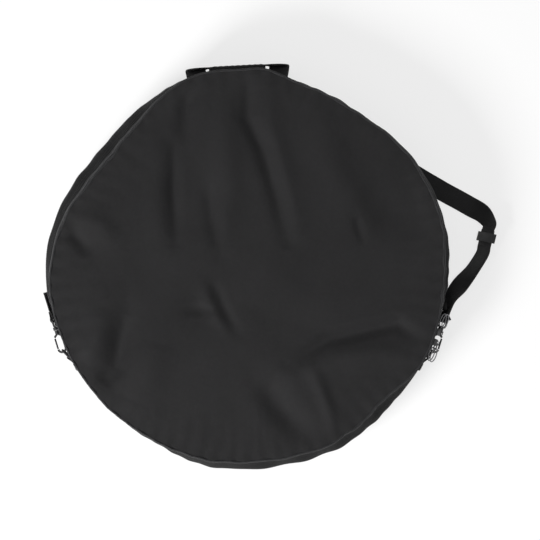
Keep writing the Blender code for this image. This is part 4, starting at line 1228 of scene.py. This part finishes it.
def wide_axis(places, hook_axis):
    """Direction across the hook's axis in which the places spread most."""
    flat = np.array([place - hook_axis * place.dot(hook_axis) for place in places])
    flat = flat - flat.mean(axis=0)
    _, vectors = np.linalg.eigh(flat.T @ flat)
    axis = Vector(vectors[:, -1])
    return axis if axis.z > 0 else -axis


# Finishes of the frame's own pieces, by the first word found in a name
FINISHES = {
    "loop": LOOP, "tab": SLIDER, "gate": HOOK, "d_ring": HOOK, "snap_hook": HOOK, "swivel_eye": HOOK,
    "adjuster": BUCKLE, "stiffener": BOARD, "slider": SLIDER,
}
ROUNDED = ("slider", "adjuster")


def make_metal():
    """Better finish and rounder edges for the frame's own metal and plastic pieces."""
    for name, node in frame["nodes"].items():
        key = next((word for word in FINISHES if word in name), None)
        if node.hide_render or key is None:
            continue
        node.data.materials.clear()
        node.data.materials.append(FINISHES[key])
        if key in ROUNDED:
            bevel = node.modifiers.new("round", "BEVEL")
            bevel.width = 0.0006
            bevel.segments = 3
            bevel.limit_method = "ANGLE"
            bevel.angle_limit = math.radians(40)


# Stage

FLOOR_HALF = 12.0
FLOOR_WHITENESS = 0.7
WORLD_STRENGTH = 0.30
LIGHT_TARGET = (0, 0, 0.1)

# Lights: name, place, size in metres and power in watts
LIGHTS = (
    ("key", (-1.75, -1.6, 1.95), 0.9, 112),
    ("fill", (1.8, 1.4, 2.8), 2.4, 18),
    ("top", (0.0, 0.0, 3.2), 2.6, 14),
)

LENS = 150
VIEW_WIDTH = 1.03
VIEW_SHIFT = Vector((0, -0.006, 0))


def show_white(nodes):
    """Let the floor look whiter to the camera and in reflections, with the object's shadow still on it."""
    path = nodes.add("ShaderNodeLightPath").outputs
    seen = nodes.math("MAXIMUM", path["Is Camera Ray"], path["Is Glossy Ray"])
    seen = nodes.math("MAXIMUM", seen, path["Is Transmission Ray"])
    glow = nodes.add("ShaderNodeEmission").outputs[0]
    share = nodes.math("MULTIPLY", seen, FLOOR_WHITENESS)
    mixed = nodes.add("ShaderNodeMixShader", {0: share, 1: nodes.shader.outputs[0], 2: glow}).outputs[0]
    nodes.tree.links.new(mixed, nodes.tree.nodes["Material Output"].inputs["Surface"])


def make_stage():
    """White paper floor in a white room, whose own light is dimmer than it looks."""
    corners = [(x * FLOOR_HALF, y * FLOOR_HALF, 0) for x, y in ((-1, -1), (1, -1), (1, 1), (-1, 1))]
    mesh = bpy.data.meshes.new("floor")
    mesh.from_pydata(corners, [], [(0, 1, 2, 3)])
    nodes = new_material("floor_paper")
    grain = nodes.noise(nodes.place(), scale=3.0, detail=2.0)
    nodes.link(nodes.ramp(grain, 0.2, 0.8, grey(0.93), grey(0.95)), "Base Color")
    nodes.set(Roughness=0.9, Specular_IOR_Level=0.1)
    show_white(nodes)
    link_object("floor", mesh, nodes.owner)

    world = bpy.data.worlds.new("studio")
    bpy.context.scene.world = world
    nodes = Nodes(world, "Background")
    path = nodes.add("ShaderNodeLightPath").outputs
    seen = nodes.math("MAXIMUM", path["Is Camera Ray"], path["Is Transmission Ray"])
    nodes.link(nodes.remap(seen, 0, 1, WORLD_STRENGTH, 1), "Strength")
    nodes.set(Color=(1, 1, 1, 1))


def make_lights():
    for name, place, size, power in LIGHTS:
        light = bpy.data.lights.new(name, "AREA")
        light.energy = power
        light.size = size
        item = link_object(name, light)
        item.location = place
        item.rotation_euler = (Vector(LIGHT_TARGET) - Vector(place)).to_track_quat("-Z", "Y").to_euler()


def make_camera():
    """Straight above the bag, as the photograph's closed view is taken."""
    camera = bpy.data.cameras.new("camera")
    camera.lens = LENS
    camera.clip_end = 50
    item = link_object("camera", camera)
    low_corner, high_corner = (Vector(corner) for corner in CAD_BOX)
    distance = VIEW_WIDTH * camera.lens / camera.sensor_width
    item.location = (low_corner + high_corner) / 2 + VIEW_SHIFT + UP * distance
    bpy.context.scene.camera = item


bpy.context.scene.view_settings.view_transform = "Standard"
make_stage()
make_lights()
make_camera()
make_front_panel()
make_rear_panel()
make_divider()
make_walls()
make_zip("rear", REAR_ZIP, "bag", "middle_flap")
make_zip("front", FRONT_ZIP, "middle_flap", "front_flap")
make_piping()
make_strap()
make_handle()
for label, turning in (("right", 1), ("left", -1)):
    make_side_tab(label, turning)
    make_strap_end(label)
make_metal()
